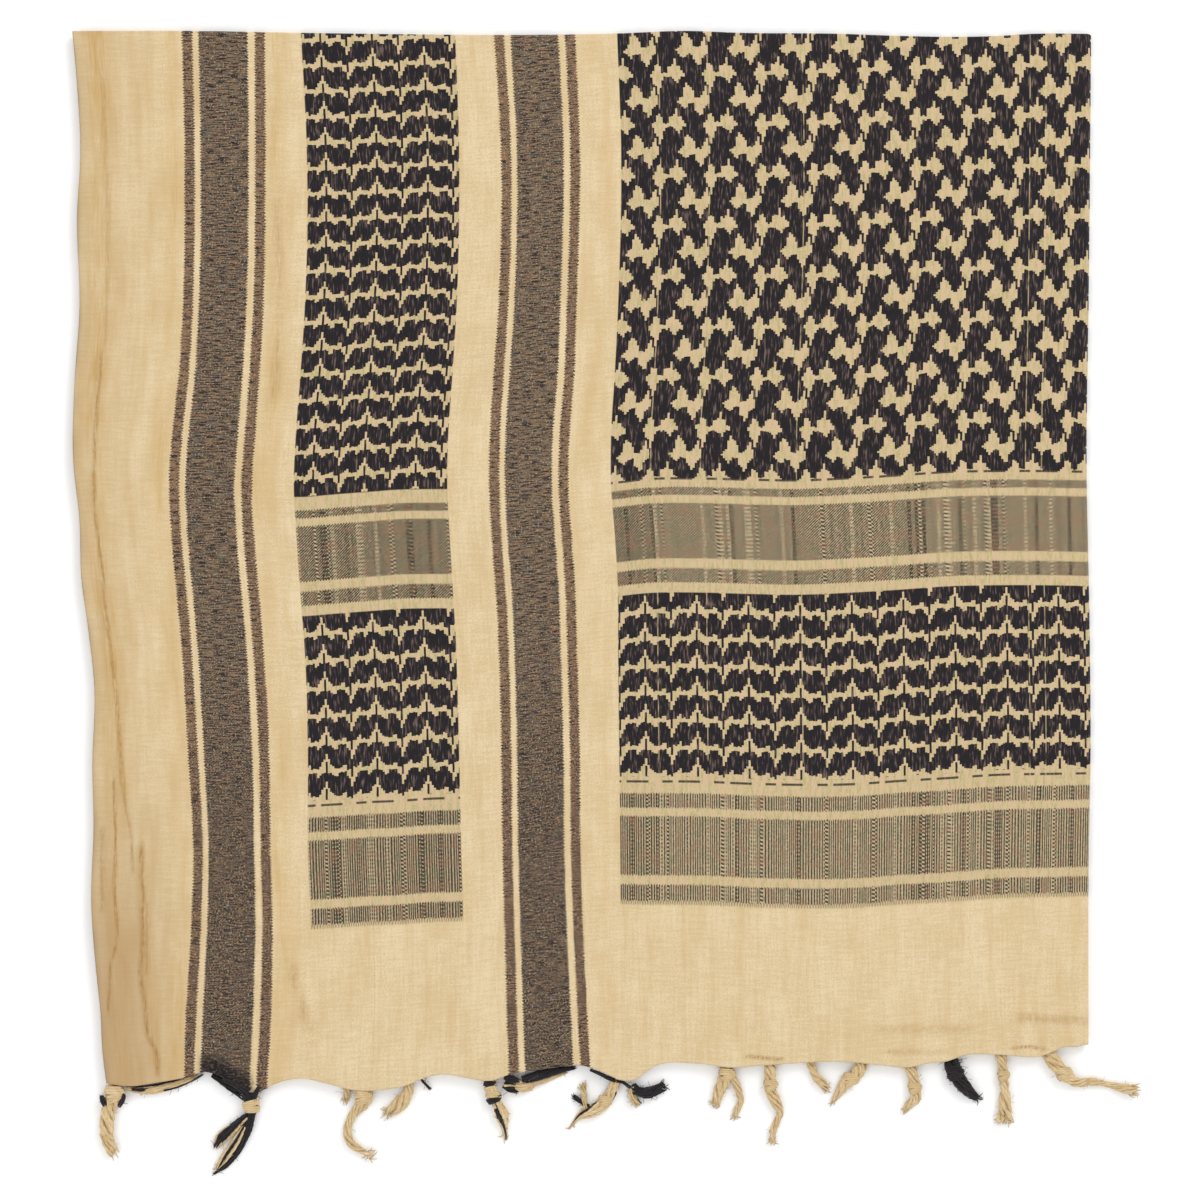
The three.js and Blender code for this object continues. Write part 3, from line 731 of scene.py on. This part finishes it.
def mesh_object(name, points, faces, materials, attributes):
    mesh = bpy.data.meshes.new(name)
    mesh.from_pydata([tuple(p) for p in to_row(points)], [], faces)
    for key, values in attributes.items():
        layer = mesh.attributes.new(key, "FLOAT_VECTOR", "POINT")
        layer.data.foreach_set("vector", np.asarray(values, np.float32).ravel())
    for material in materials:
        mesh.materials.append(material)
    mesh.shade_smooth()
    thing = bpy.data.objects.new(name, mesh)
    bpy.context.scene.collection.objects.link(thing)
    return thing


def layer_inset(layer, along):
    """How far a hidden layer's loose edge lies inside the edge of the one that shows."""
    return 1.7 + 0.8 * np.sin(along / 61 + 2.1 * layer)


# Each layer from the top: the radius of its bend at the side fold over the layer pitch, which way its
# bends go at the side and top folds, and how far the side bend lies inside the outer one.
LAYERS = [
    {"name": "cloth_top", "side": 1.5, "side_way": -1, "top_way": -1, "inside": 0},
    {"name": "cloth_second", "side": 0.5, "side_way": -1, "top_way": 1, "inside": 1.5},
    {"name": "cloth_third", "side": 0.5, "side_way": 1, "top_way": -1, "inside": 1.5},
    {"name": "cloth_bottom", "side": 1.5, "side_way": 1, "top_way": 1, "inside": 0},
]
BEND_STEPS = [20, 40, 60, 76, 90]  # degrees
SELVAGE_STRIP = 46  # the width of the finely modelled strip along the selvage
HEM_STRIP = 30  # and of the one along the hem
HEM_NOTCH = 506  # where the hem begins to step up to the side fold
FINEST = 0.8  # the smallest step between points


def layer_grid(number):
    """How far across and up each row and column of a layer is, as a share, and how far it is bent."""
    fine = FINEST if number == 0 else 3 * FINEST
    across_stops = steps(0, SELVAGE_STRIP, fine) + steps(SELVAGE_STRIP, HEM_NOTCH, 5 * fine)
    across_stops += steps(HEM_NOTCH, QUARTER_WIDTH, 2.5 * fine) + [QUARTER_WIDTH]
    up_stops = steps(0, HEM_STRIP, 1.2 * fine) + steps(HEM_STRIP, QUARTER_LENGTH, 3.6 * fine)
    up_stops += [QUARTER_LENGTH]
    column_share = np.array(across_stops + [QUARTER_WIDTH] * len(BEND_STEPS)) / QUARTER_WIDTH
    row_share = np.array(up_stops + [QUARTER_LENGTH] * len(BEND_STEPS)) / QUARTER_LENGTH
    column_bend = np.sin(np.radians([0] * len(across_stops) + BEND_STEPS))
    row_bend = np.sin(np.radians([0] * len(up_stops) + BEND_STEPS))
    return *np.meshgrid(column_share, row_share), *np.meshgrid(column_bend, row_bend)


def closed_shell(points):
    """The corners and faces of a closed shell as thick as the cloth, from a grid of its middle points."""
    run_x = np.gradient(points, axis=1)
    run_y = np.gradient(points, axis=0)
    normal = np.cross(run_x, run_y)
    normal /= np.linalg.norm(normal, axis=-1, keepdims=True) + 1e-12
    upper = points + normal * CLOTH / 2
    lower = points - normal * CLOTH / 2
    corners = np.concatenate([upper.reshape(-1, 3), lower.reshape(-1, 3)])
    rows, columns = points.shape[:2]
    index = np.arange(rows * columns).reshape(rows, columns)
    a = index[:-1, :-1].ravel()
    b = index[:-1, 1:].ravel()
    c = index[1:, 1:].ravel()
    d = index[1:, :-1].ravel()
    under = rows * columns
    faces = np.concatenate([np.stack([a, b, c, d], 1), np.stack([a, d, c, b], 1) + under])
    rim = np.concatenate([index[0, :-1], index[:-1, -1], index[-1, :0:-1], index[:0:-1, 0]])
    following = np.roll(rim, -1)
    edge_faces = np.stack([rim, rim + under, following + under, following], 1)
    return corners, np.concatenate([faces, edge_faces]).tolist()


def cloth_attributes(u, v, across, up, left, low, creased):
    """What the cloth material reads at each point, for both faces of the shell."""
    bands = np.zeros_like(u)
    for place, half_width, at_top, at_hem in GOLDEN_BANDS:
        strength = at_hem + (at_top - at_hem) * up / QUARTER_LENGTH
        bands += strength * np.exp(-(((u - place) / half_width) ** 2))
    patchy = 0.75 + 0.25 * soft_waves(u * 3, v, 120, SEED + 20)
    by_selvage = smooth((62 - u) / 10)
    golden = np.maximum(creased, bands * patchy)
    golden = golden + 0.12 * by_selvage + 0.14 * smooth((110 - up) / 90) * by_selvage
    # Painted shadow along the selvage rim.
    rim = 0.55 * np.exp(-((across - left) / 1.6)) * (0.7 + 0.3 * soft_waves(up * 0, up, 30, 5))
    # Painted shade, darker towards the selvage and most at the lower left.
    left_shade = 0.25 * smooth((60 - u) / 60) + 0.5 * smooth((75 - u) / 60) * smooth((190 - v) / 150)
    first, last, depth = GATHERED
    gathered = smooth((across - first) / 6) * smooth((last - across) / 4)
    gathered = gathered * smooth(1.5 - (up - low) / depth)
    named = {
        "weave": (u, v, 0 * u),
        "tint_and_shade": (golden, rim, left_shade),
        "marks": (crease_shadow_lines(across, up), gathered, 0 * u),
    }
    one_face = {key: np.stack(values, axis=-1).reshape(-1, 3) for key, values in named.items()}
    return {key: np.concatenate([values, values]) for key, values in one_face.items()}


def cloth_layer(number, material):
    """One layer of the folded cloth as a thin closed shell, bent at its two folds."""
    spec = LAYERS[number]
    middle = LOWEST_LAYER + LAYER_PITCH * (len(LAYERS) - 1 - number)
    side_radius = spec["side"] * LAYER_PITCH
    top_radius = LAYER_PITCH / 2
    share_x, share_y, bend_x, bend_y = layer_grid(number)
    rough_up = share_y * QUARTER_LENGTH
    left = curve(SELVAGE, rough_up)
    right = curve(SIDE_FOLD, rough_up) - side_radius - spec["inside"]
    if number:
        left = left + layer_inset(number, rough_up)
    across = left + (right - left) * share_x
    low = curve(HEM, across)
    if number:
        low = low + layer_inset(number, across)
    high = curve(TOP_FOLD, across) - top_radius
    up = low + (high - low) * share_y

    # Where both folds meet, the square of two bends becomes part of a ball.
    p = bend_x * np.sqrt(1 - bend_y**2 / 2)
    q = bend_y * np.sqrt(1 - bend_x**2 / 2)
    both = p**2 + q**2
    drop = 1 - np.sqrt(np.clip(1 - both, 0, 1))
    side_part = spec["side_way"] * side_radius * p**2
    top_part = spec["top_way"] * top_radius * q**2
    way_drop = (side_part + top_part) / (both + 1e-9)
    flat = 1 - np.sqrt(np.clip(both, 0, 1))

    relief, creased = crease_relief(across, up)
    unevenness = 0.12 * soft_waves(across, up, 60, SEED + number)
    ripples = 0.16 * soft_waves(across * 2.6, up * 0.35, 22, SEED + 8) * smooth((90 - across) / 60)
    softness = {0: 1, len(LAYERS) - 1: 0}.get(number, 0.3)  # hidden layers are flatter
    bump = (relief + unevenness + ripples) * flat * softness
    height = middle + bump + way_drop * drop
    points = np.stack([across + side_radius * p, up + top_radius * q, height], axis=-1)
    corners, faces = closed_shell(points)
    u, v = weave_coordinates(across, up)
    u = u + side_radius * bend_x * 1.3
    v = v + top_radius * bend_y * 1.3
    attributes = cloth_attributes(u, v, across, up, left, low, creased)
    return mesh_object(spec["name"], corners, faces, [material], attributes)


# ---- yarns ----
class Yarns:
    """Tubes of yarn gathered into one mesh. Each has its own material number and random shade."""

    def __init__(self, name):
        self.name = name
        self.points = []
        self.faces = []
        self.fibres = []
        self.materials = []
        self.count = 0

    def tube(self, path, radii, material, chance, sides=7):
        path = np.asarray(path, float)
        radii = np.broadcast_to(np.asarray(radii, float), (len(path),))
        run = np.gradient(path, axis=0)
        run /= np.linalg.norm(run, axis=1, keepdims=True) + 1e-12
        along = np.concatenate([[0], np.cumsum(np.linalg.norm(np.diff(path, axis=0), axis=1))])
        side = np.cross(run, (0.0, 0.0, 1.0))
        weak = np.linalg.norm(side, axis=1) < 0.2
        side[weak] = np.cross(run[weak], (0.0, 1.0, 0.0))
        side /= np.linalg.norm(side, axis=1, keepdims=True)
        rise = np.cross(side, run)
        angles = 2 * math.pi * np.arange(sides) / sides
        ring = np.cos(angles)[None, :, None] * side[:, None] + np.sin(angles)[None, :, None] * rise[:, None]
        points = path[:, None] + ring * radii[:, None, None]
        points[..., 2] = np.maximum(points[..., 2], 0.05)
        base = self.count
        self.points.append(points.reshape(-1, 3))
        turn = np.broadcast_to(angles / (2 * math.pi), (len(path), sides))
        length = np.broadcast_to(along[:, None], (len(path), sides))
        fibres = np.stack([length, turn, np.full_like(length, chance)], axis=-1)
        self.fibres.append(fibres.reshape(-1, 3))
        for i in range(len(path) - 1):
            for k in range(sides):
                following = (k + 1) % sides
                here = base + i * sides
                self.faces.append((here + k, here + following, here + sides + following, here + sides + k))
                self.materials.append(material)
        first = [base + k for k in range(sides)][::-1]
        last = [base + (len(path) - 1) * sides + k for k in range(sides)]
        self.faces += [tuple(first), tuple(last)]
        self.materials += [material, material]
        self.count += len(path) * sides

    def build(self, materials):
        points = np.concatenate(self.points)
        attributes = {"fibre": np.concatenate(self.fibres)}
        made = mesh_object(self.name, points, self.faces, materials, attributes)
        made.data.polygons.foreach_set("material_index", self.materials)
        return made


ROPE_FLATNESS = 0.72  # a cord's height over its width as it lies
ROPE_HIGHEST = 5.2
ROPE_THINNEST = 1.6
ROPE_CLEARANCE = 0.25  # between a cord's underside and the table
HIDDEN_START = 4  # how much of a tassel lies between the layers
HIDDEN_HEIGHT = 3.2  # how high it may be there
LEAST_WIDTH = 0.8
HEM_MIDDLE = 2.6  # height of a tassel's middle where it leaves the stack
MOST_PLIES = 8
CORE_YARNS = 4
KNOT_HEADING = math.radians(-80)
KNOT_CLEARANCE = 0.6
FRAY_RADIUS = 0.34
HAIR_RADIUS = 0.11


def route(sections, spacing=0.8):
    """A strand's table of (across, up, wide) as a smooth path with its widths and heights."""
    table = np.array(sections, float)
    gaps = np.linalg.norm(np.diff(table[:, :2], axis=0), axis=1)
    along = np.concatenate([[0], np.cumsum(gaps)])
    where = np.linspace(0, along[-1], max(4, int(along[-1] / spacing)))
    read = [curve(list(zip(along, table[:, k])), where) for k in range(3)]
    wide = np.maximum(read[2], LEAST_WIDTH)
    high = np.clip(wide * ROPE_FLATNESS, ROPE_THINNEST * 0.6, ROPE_HIGHEST)
    high = np.minimum(high, HIDDEN_HEIGHT + 0.5 * np.maximum(where - HIDDEN_START, 0))
    lying = high / 2 + ROPE_CLEARANCE
    lift = np.clip(1 - where / along[min(2, len(along) - 1)], 0, 1)
    z = lying + (np.maximum(lying, HEM_MIDDLE) - lying) * lift
    centre = np.stack([read[0], read[1], z], axis=1)
    return centre, wide, high, where


def frames(centre):
    run = np.gradient(centre, axis=0)
    run /= np.linalg.norm(run, axis=1, keepdims=True)
    side = np.cross(run, (0.0, 0.0, 1.0))
    side /= np.linalg.norm(side, axis=1, keepdims=True)
    return run, side, np.cross(side, run)


def lay_bundle(yarns, spec, draws):
    """A cord of loose cotton yarns that wind slowly round each other and end in a tuft."""
    centre, wide, high, where = route(spec["sections"])
    run, side, rise = frames(centre)
    length = where[-1]
    plies = spec["plies"]
    around = plies * max(1, MOST_PLIES // len(plies))
    core = [plies[0]] * CORE_YARNS
    for k, material in enumerate(around + core):
        outer = k < len(around)
        ring = 0.34 if outer else 0.15
        share = k / (len(around) if outer else CORE_YARNS)
        start = 2 * math.pi * (share + draws.uniform(-0.05, 0.05))
        stop = length - draws.uniform(0, 0.12) * length * (k % 3)
        reach = np.linspace(0, stop, max(6, int(stop / 0.9)))
        place = [np.interp(reach, where, centre[:, i]) for i in range(3)]
        across = np.stack([np.interp(reach, where, side[:, i]) for i in range(3)], axis=1)
        upward = np.stack([np.interp(reach, where, rise[:, i]) for i in range(3)], axis=1)
        w = np.interp(reach, where, wide)
        h = np.interp(reach, where, high)
        wander = 0.3 * np.sin(reach / draws.uniform(3, 7) + draws.uniform(0, 6))
        angle = start + 2 * math.pi * reach / spec["pitch"] + wander
        tuft = 1 + 0.5 * np.clip((reach - length + 5) / 5, 0, 1) ** 2
        path = np.stack(place, axis=1)
        path = path + across * (np.cos(angle) * w * ring * tuft)[:, None]
        path = path + upward * (np.sin(angle) * h * ring + spec["lift"])[:, None]
        rough = 1 + 0.14 * np.sin(reach * draws.uniform(1.2, 2.4) + draws.uniform(0, 6))
        taper = 1 - 0.55 * np.clip((reach - stop + 3) / 3, 0, 1)
        radius = np.minimum((w + h) / 2 * 0.17, h * 0.25)
        yarns.tube(path, np.maximum(radius, 0.2) * rough * taper, material, draws.random())


def lay_knot(yarns, place, wide, high, letters, draws):
    """Turns of yarn round a cord, drawn tight, each of three strands side by side."""
    x, y, z = place
    run = np.array([math.cos(KNOT_HEADING), math.sin(KNOT_HEADING), 0.0])
    side = np.array([-run[1], run[0], 0.0])
    turns = [YARNS.index(letter) for letter in letters for _ in range(3)]
    for k, material in enumerate(turns):
        t = np.linspace(0, 2 * math.pi, 26)
        tilt = 0.2 * (-1) ** (k // 3) + draws.uniform(-0.06, 0.06)
        shift = (k - (len(turns) - 1) / 2) * wide * 0.13
        bulge = 1.06 - 0.25 * (2 * k / (len(turns) - 1) - 1) ** 2
        ring = (
            np.array([x, y, z])
            + np.outer(np.cos(t) * wide * 0.46 * bulge, side)
            + np.outer(np.sin(t) * high * 0.46 * bulge, (0, 0, 1.0))
            + np.outer(shift + np.cos(t) * wide * tilt * 0.4, run)
        )
        yarns.tube(ring, wide * 0.095, material, draws.random())


def lay_fray(yarns, spec, draws):
    """Loose yarn ends that fan out from the end of a cord."""
    count, length, spread = spec["fray"]
    centre, wide, high, _ = route(spec["sections"])
    run, side, _ = frames(centre)
    tip = centre[-1]
    for _ in range(count):
        turn = draws.gauss(0, spread)
        reach = length * draws.uniform(0.45, 1.1)
        start = tip - run[-1] * draws.uniform(1.0, 4.0)
        start = start + side[-1] * wide[-1] * draws.uniform(-0.4, 0.4)
        t = np.linspace(0, 1, 8)
        heading = math.atan2(run[-1][1], run[-1][0]) + turn
        bend = draws.gauss(0, 0.5)
        x = start[0] + np.cos(heading + bend * t) * reach * t
        y = start[1] + np.sin(heading + bend * t) * reach * t
        z = start[2] * (1 - t) + (0.3 + draws.random() * high[-1] * 0.6) * t
        path = np.stack([x, y, z], axis=1)
        radii = FRAY_RADIUS * (1.2 - 0.8 * t)
        yarns.tube(path, radii, draws.choice(spec["plies"]), draws.random(), 5)


def lay_fuzz(yarns, spec, count, draws):
    """Short hairs that stand off a cord."""
    centre, wide, high, _ = route(spec["sections"])
    _, side, rise = frames(centre)
    for _ in range(count):
        i = draws.randrange(2, len(centre) - 1)
        angle = draws.uniform(0, 2 * math.pi)
        out = side[i] * math.cos(angle) * wide[i] * 0.5 + rise[i] * math.sin(angle) * high[i] * 0.5
        lean = np.array([draws.gauss(0, 1), draws.gauss(0, 1), 0.2])
        t = np.linspace(0, 1, 4)[:, None]
        path = centre[i] + out * (0.8 + 0.35 * t) + lean * t * 1.5
        yarns.tube(path, HAIR_RADIUS, spec["plies"][0], draws.random(), 3)


YARNS = "CB"  # cream and black, in the order of the materials of a rope


def strand(sections, plies, fray=None, pitch=26, lift=0):
    """One cord: its sections (across, up, wide) from the hem to its end, its yarns in order round it, the
    count, length and spread of its frayed ends, the length of a turn, and how high it is raised."""
    plies = [YARNS.index(letter) for letter in plies]
    return {"sections": sections, "plies": plies, "fray": fray, "pitch": pitch, "lift": lift}


def rope(node, strands, slot="cream_yarn", knots=(), hairs=16):
    """A tassel or rolled hem: the CAD node it stands for, its strands, its finish, which is not used, its
    knots (across, up, wide, yarn of each turn), and how many hairs stand off each strand."""
    return {"node": node, "slot": slot, "strands": strands, "knots": knots, "hairs": hairs}


ROPES = [
    rope("tassel_01_selvage", [
        strand([(19, -7, 8), (18.4, -13, 9.5), (17.6, -18, 9.5), (14.7, -24.7, 8), (14.2, -31.6, 8.4),
            (14.2, -39.5, 7.4), (16.5, -45, 6.4), (18, -48, 5.6)], "CCC", fray=(7, 4, 0.4)),
        strand([(11.6, -15.6, 2.2), (12.2, -18.4, 3.4), (13.4, -21.2, 2.4)], "B", lift=3.4),
        strand([(23.6, -15, 1.8), (22.8, -18.6, 2.8), (20.6, -22, 2.2)], "B", lift=3),
    ], knots=[(18.4, -15.6, 10, "CC")]),
    rope("tassel_02_black", [
        strand([(90.6, -14, 7.6), (90, -20, 8), (90, -26, 6.2), (88.4, -33, 6), (85.6, -40, 5.4),
            (82, -47, 4.4), (76.4, -54, 3), (70.4, -58.6, 1.6)], "B", fray=(4, 3, 0.2), pitch=150),
        strand([(87, -33, 3), (82, -41.6, 5.4), (77, -48.6, 5.4), (71.6, -56, 2.4)],
            "CBCCBCC", fray=(5, 4, 0.3), pitch=110, lift=0.8),
        strand([(88, -28, 4.6), (80.6, -34, 6), (74, -39.6, 6.4), (71, -44.4, 3)],
            "BBBC", fray=(4, 3, 0.3), pitch=150),
    ], "black_yarn", knots=[(90, -20.6, 8.4, "BCC")]),
    rope("tassel_03_cream", [
        strand([(150.6, -10, 9), (149.6, -20, 8.4), (145.2, -25, 5.4), (141.5, -31.6, 4.8),
            (141, -37.9, 4.8), (143.6, -43, 4.8), (149, -46, 4.4), (154.5, -48.4, 6.4)],
            "CCC", fray=(10, 4, 0.6)),
    ], knots=[(149.4, -17.5, 8.6, "CC")]),
    rope("tassel_04_under", [
        strand([(140.2, -9, 4), (140.6, -15, 4), (139.8, -20, 3)], "CC", fray=(10, 4, 0.5)),
    ]),
    rope("tassel_05_under", [
        strand([(173.4, -8, 4.6), (172.6, -16, 6.6), (168, -21.6, 8.6), (161.6, -26.4, 4.6)],
            "CC", fray=(14, 6, 0.6)),
    ]),
    rope("tassel_06_mixed", [
        strand([(215.4, -6, 5), (217.6, -15, 7), (220.6, -22.4, 6), (222.4, -27, 8.2), (223.6, -33, 4.2),
            (224.4, -40.5, 1.8)], "BCCCCCCC", fray=(5, 4, 0.4), pitch=120),
    ], "mixed_yarn", knots=[(216.2, -11.5, 6.4, "BC"), (218, -17.4, 7.6, "CB")]),
    rope("tassel_07_mixed", [
        strand([(283.4, -6, 4.6), (280.4, -14.2, 6), (276.7, -20.5, 6.6), (269.8, -24.9, 7.4),
            (264.6, -27, 5), (260.4, -31, 1.8), (258, -34.8, 1.6)],
            "CCCCBCCB", fray=(4, 3, 0.5), pitch=110),
        strand([(268.4, -23, 2.6), (259.6, -17.2, 2.6)], "B", fray=(3, 3, 0.4)),
        strand([(266.4, -24, 3), (265, -10.6, 3.6)], "CC", fray=(4, 3, 0.4)),
    ], "mixed_yarn", knots=[(277, -19.5, 7, "CC")]),
    rope("tassel_08_black", [
        strand([(291.6, -11, 3.4), (294, -14.4, 5), (298.6, -15.4, 6.4), (303, -14.2, 6.4),
            (308.4, -11.6, 4.6)], "B", fray=(16, 4, 0.8), pitch=60),
        strand([(290.8, -12, 3.4), (291.6, -18.4, 4.4), (294.6, -22.4, 4)],
            "CCCBCB", fray=(6, 3, 0.7), pitch=90),
    ], "black_yarn", knots=[(293.4, -15.4, 5, "B")], hairs=60),
    rope("tassel_09_split", [
        strand([(342, 2, 7.4), (341, -5.3, 8), (337.7, -12.6, 7), (334.6, -22.4, 4.6)],
            "CCC", fray=(10, 4, 0.4)),
        strand([(343, -5, 4.4), (347, -13.4, 4.2), (348.4, -19.5, 3.4), (345.8, -25.8, 3.6),
            (344.8, -29.6, 1.8)], "CC", fray=(6, 4, 0.5)),
    ], knots=[(341.2, -5.5, 8.2, "CC")]),
    rope("tassel_10_long", [
        strand([(364, 3, 8), (364, -7.9, 6.4), (364.2, -14.2, 6.4), (366.8, -20, 6.2), (369, -25.4, 4.4),
            (367, -31.6, 3.8), (365, -36.8, 4.4), (365, -42.4, 4.6)], "CCC", fray=(10, 3, 0.4)),
    ], knots=[(364.2, -11, 7, "CC")]),
    rope("tassel_11_under", [
        strand([(384.4, 2, 4.4), (388.2, -6.8, 4.8), (391.9, -11, 5.2), (394.4, -14.2, 3.8)],
            "CC", fray=(12, 4, 0.7)),
    ]),
    rope("tassel_12_cream", [
        strand([(414, 4, 7.8), (409.6, -5, 7.4), (403.6, -10, 7.6), (400.2, -15.3, 4.8), (396.2, -21, 2.6)],
            "CCC", fray=(8, 4, 0.4)),
    ], knots=[(406.5, -8, 8, "CC")]),
    rope("tassel_13_cream", [
        strand([(436.6, 2, 9), (439.2, -6.8, 6), (440.4, -13.2, 6.2), (440.4, -19, 5.6),
            (436.4, -22.4, 4.4), (434.6, -25.6, 3.4)], "CCC", fray=(8, 3, 0.4)),
    ], knots=[(440.2, -12.5, 6.8, "CC")]),
    rope("tassel_14_black", [
        strand([(459.4, 6, 7), (459.6, 0, 9.4), (462, -6, 8.6), (465.4, -11, 8), (469.6, -15.4, 6),
            (474, -19, 2.6)], "B", fray=(12, 4, 0.6), pitch=70),
    ], "black_yarn", knots=[(461.4, -4.6, 8.6, "BB")], hairs=60),
    rope("tassel_15_flared", [
        strand([(484.4, 9, 7.8), (486.6, -1.6, 5.4), (487.2, -9, 5.4), (487.6, -15.8, 6.2),
            (487.6, -23.7, 7.4), (487.6, -31, 9.4)], "CCC", fray=(22, 4, 0.35)),
    ], knots=[(487, -6, 6.2, "CC")]),
    rope("tassel_16_corner", [
        strand([(508.6, 10, 9.4), (514.6, -0.6, 8), (520.4, -6.6, 7.4), (525.4, -9.8, 5.4),
            (533, -9.6, 4.8), (541.6, -11, 3.4), (549, -12.8, 5), (557, -14.4, 7.4)],
            "CCC", fray=(16, 4, 0.45)),
    ], knots=[(519, -5, 8, "CC")]),
    rope("hem_roll_01_twisted", [
        strand([(24.6, -12.6, 3), (32, -14, 4.4), (40, -13.6, 4.8), (48, -11.6, 4.2), (55.8, -9, 3.2),
            (62.4, -6.6, 2)], "CC", pitch=60),
        strand([(23.8, -11.6, 0.9), (31, -12, 1.2), (37.4, -11.6, 1.1), (45, -10, 1), (53, -8, 0.8)],
            "B", lift=1.6),
        strand([(27, -13.2, 1.4), (32, -13.6, 1.9), (37.4, -13.2, 1.3)], "B", lift=2),
        strand([(44, -14.2, 0.9), (51, -12.4, 1.1), (58, -9.4, 1.2), (65, -5.8, 0.9)], "B", lift=0.8),
    ], "mixed_yarn"),
    rope("hem_roll_02_black", [
        strand([(69.4, -6, 2.4), (75.6, -9.8, 4), (81.6, -14, 4.6), (86.4, -17.4, 4)], "B", pitch=90),
        strand([(75, -7.6, 2), (81, -10.4, 3), (87, -14.4, 3.6), (90, -19, 4)], "B", pitch=90, lift=3.4),
        strand([(95, -11, 2), (93, -14.6, 3), (91, -19, 4)], "B", pitch=90, lift=3.2),
    ], "black_yarn"),
    rope("hem_roll_03_twisted", [
        strand([(223.6, -6.4, 3), (227, -8, 5), (231, -10, 4)], "B", lift=1.4),
        strand([(227.6, -8.6, 3.6), (231, -11.4, 6), (236, -12.4, 5), (240, -10.6, 2)], "CC"),
        strand([(223.4, -11, 4.4), (227.4, -13, 5.2), (231, -15, 2.6)], "BBCB"),
        strand([(233, -8.4, 4), (240, -6.6, 5.6), (247, -4.8, 5), (254, -3.4, 3.4), (261.6, -2.4, 1.8)],
            "B", pitch=60),
        strand([(236, -11.6, 2.4), (243, -9.8, 2.6), (250, -7.2, 2.2), (257, -4.6, 1.4)], "CC"),
    ], "mixed_yarn"),
    rope("hem_roll_04_strand", [
        strand([(268.6, -2.6, 1.8), (274, -5, 2.2), (280, -8, 2.4), (285.6, -9.4, 2.2), (291, -13, 2)],
            "BB", lift=2.6),
        strand([(179.6, -8, 1.2), (182, -11, 1.5), (184.8, -14, 1.3)], "B"),
    ], "black_yarn"),
]


def rope_piece(spec, materials):
    draws = random.Random(spec["node"])
    yarns = Yarns("yarn_" + spec["node"])
    for cord in spec["strands"]:
        lay_bundle(yarns, cord, draws)
        if cord["fray"]:
            lay_fray(yarns, cord, draws)
        lay_fuzz(yarns, cord, spec["hairs"], draws)
    for across, up, wide, turns in spec["knots"]:
        high = min(wide * ROPE_FLATNESS, ROPE_HIGHEST)
        place = (across, up, high / 2 + KNOT_CLEARANCE)
        lay_knot(yarns, place, wide, high, turns, draws)
    return yarns.build(materials)


# ---- building ----
cloth = cloth_material()
layers = [cloth_layer(number, cloth) for number in range(len(LAYERS))]
cream = yarn_material("cream_yarn", dyed(244, 220, 172), dyed(214, 182, 132), dyed(255, 244, 212))
black = yarn_material("black_yarn", dyed(44, 38, 42), dyed(20, 16, 20), dyed(104, 94, 92))

for spec in ROPES:
    piece = rope_piece(spec, [cream, black])
    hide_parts(spec["node"])
    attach(piece, "root")

for number, layer in enumerate(layers):
    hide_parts("top_layer" if number == 0 else "hidden_layers")
    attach(layer, "root")

# ---- floor, light and camera ----
FLOOR_SIZE = 30
ROOM_LIGHT = 0.92  # the plain light from all round
bpy.ops.mesh.primitive_plane_add(size=FLOOR_SIZE, location=(0, 0, 0))
floor = bpy.context.object
floor.name = "floor"
floor.data.materials.append(floor_material())

world = bpy.data.worlds.new("studio")
bpy.context.scene.world = world
world.use_nodes = True
background = world.node_tree.nodes["Background"]
background.inputs["Color"].default_value = (1, 1, 1, 1)
background.inputs["Strength"].default_value = ROOM_LIGHT


def soft_light(name, place, size, power):
    """A square soft box that faces the middle of the scarf."""
    data = bpy.data.lights.new(name, "AREA")
    data.size = size
    data.energy = power
    light = bpy.data.objects.new(name, data)
    light.location = place
    light.rotation_euler = (-Vector(place)).to_track_quat("-Z", "Y").to_euler()
    bpy.context.scene.collection.objects.link(light)


soft_light("window", (1.5, 1.9, 1.9), 1.4, 31)
soft_light("fill", (-1.8, -1.6, 2.2), 1.8, 15)

PICTURE_WIDTH = 0.6312  # metres across the picture, at the cloth
CAMERA_LENS = 100
CAMERA_ASIDE = (-0.0029, 0.0017)  # the picture's centre from the middle of the object
camera_data = bpy.data.cameras.new("camera")
camera_data.lens = CAMERA_LENS
camera = bpy.data.objects.new("camera", camera_data)
low, high = cad_bounds
middle = (low + high) / 2
distance = PICTURE_WIDTH * CAMERA_LENS / camera_data.sensor_width
camera.location = (middle.x + CAMERA_ASIDE[0], middle.y + CAMERA_ASIDE[1], high.z + distance)
bpy.context.scene.collection.objects.link(camera)
bpy.context.scene.camera = camera
bpy.context.scene.view_settings.view_transform = "Standard"
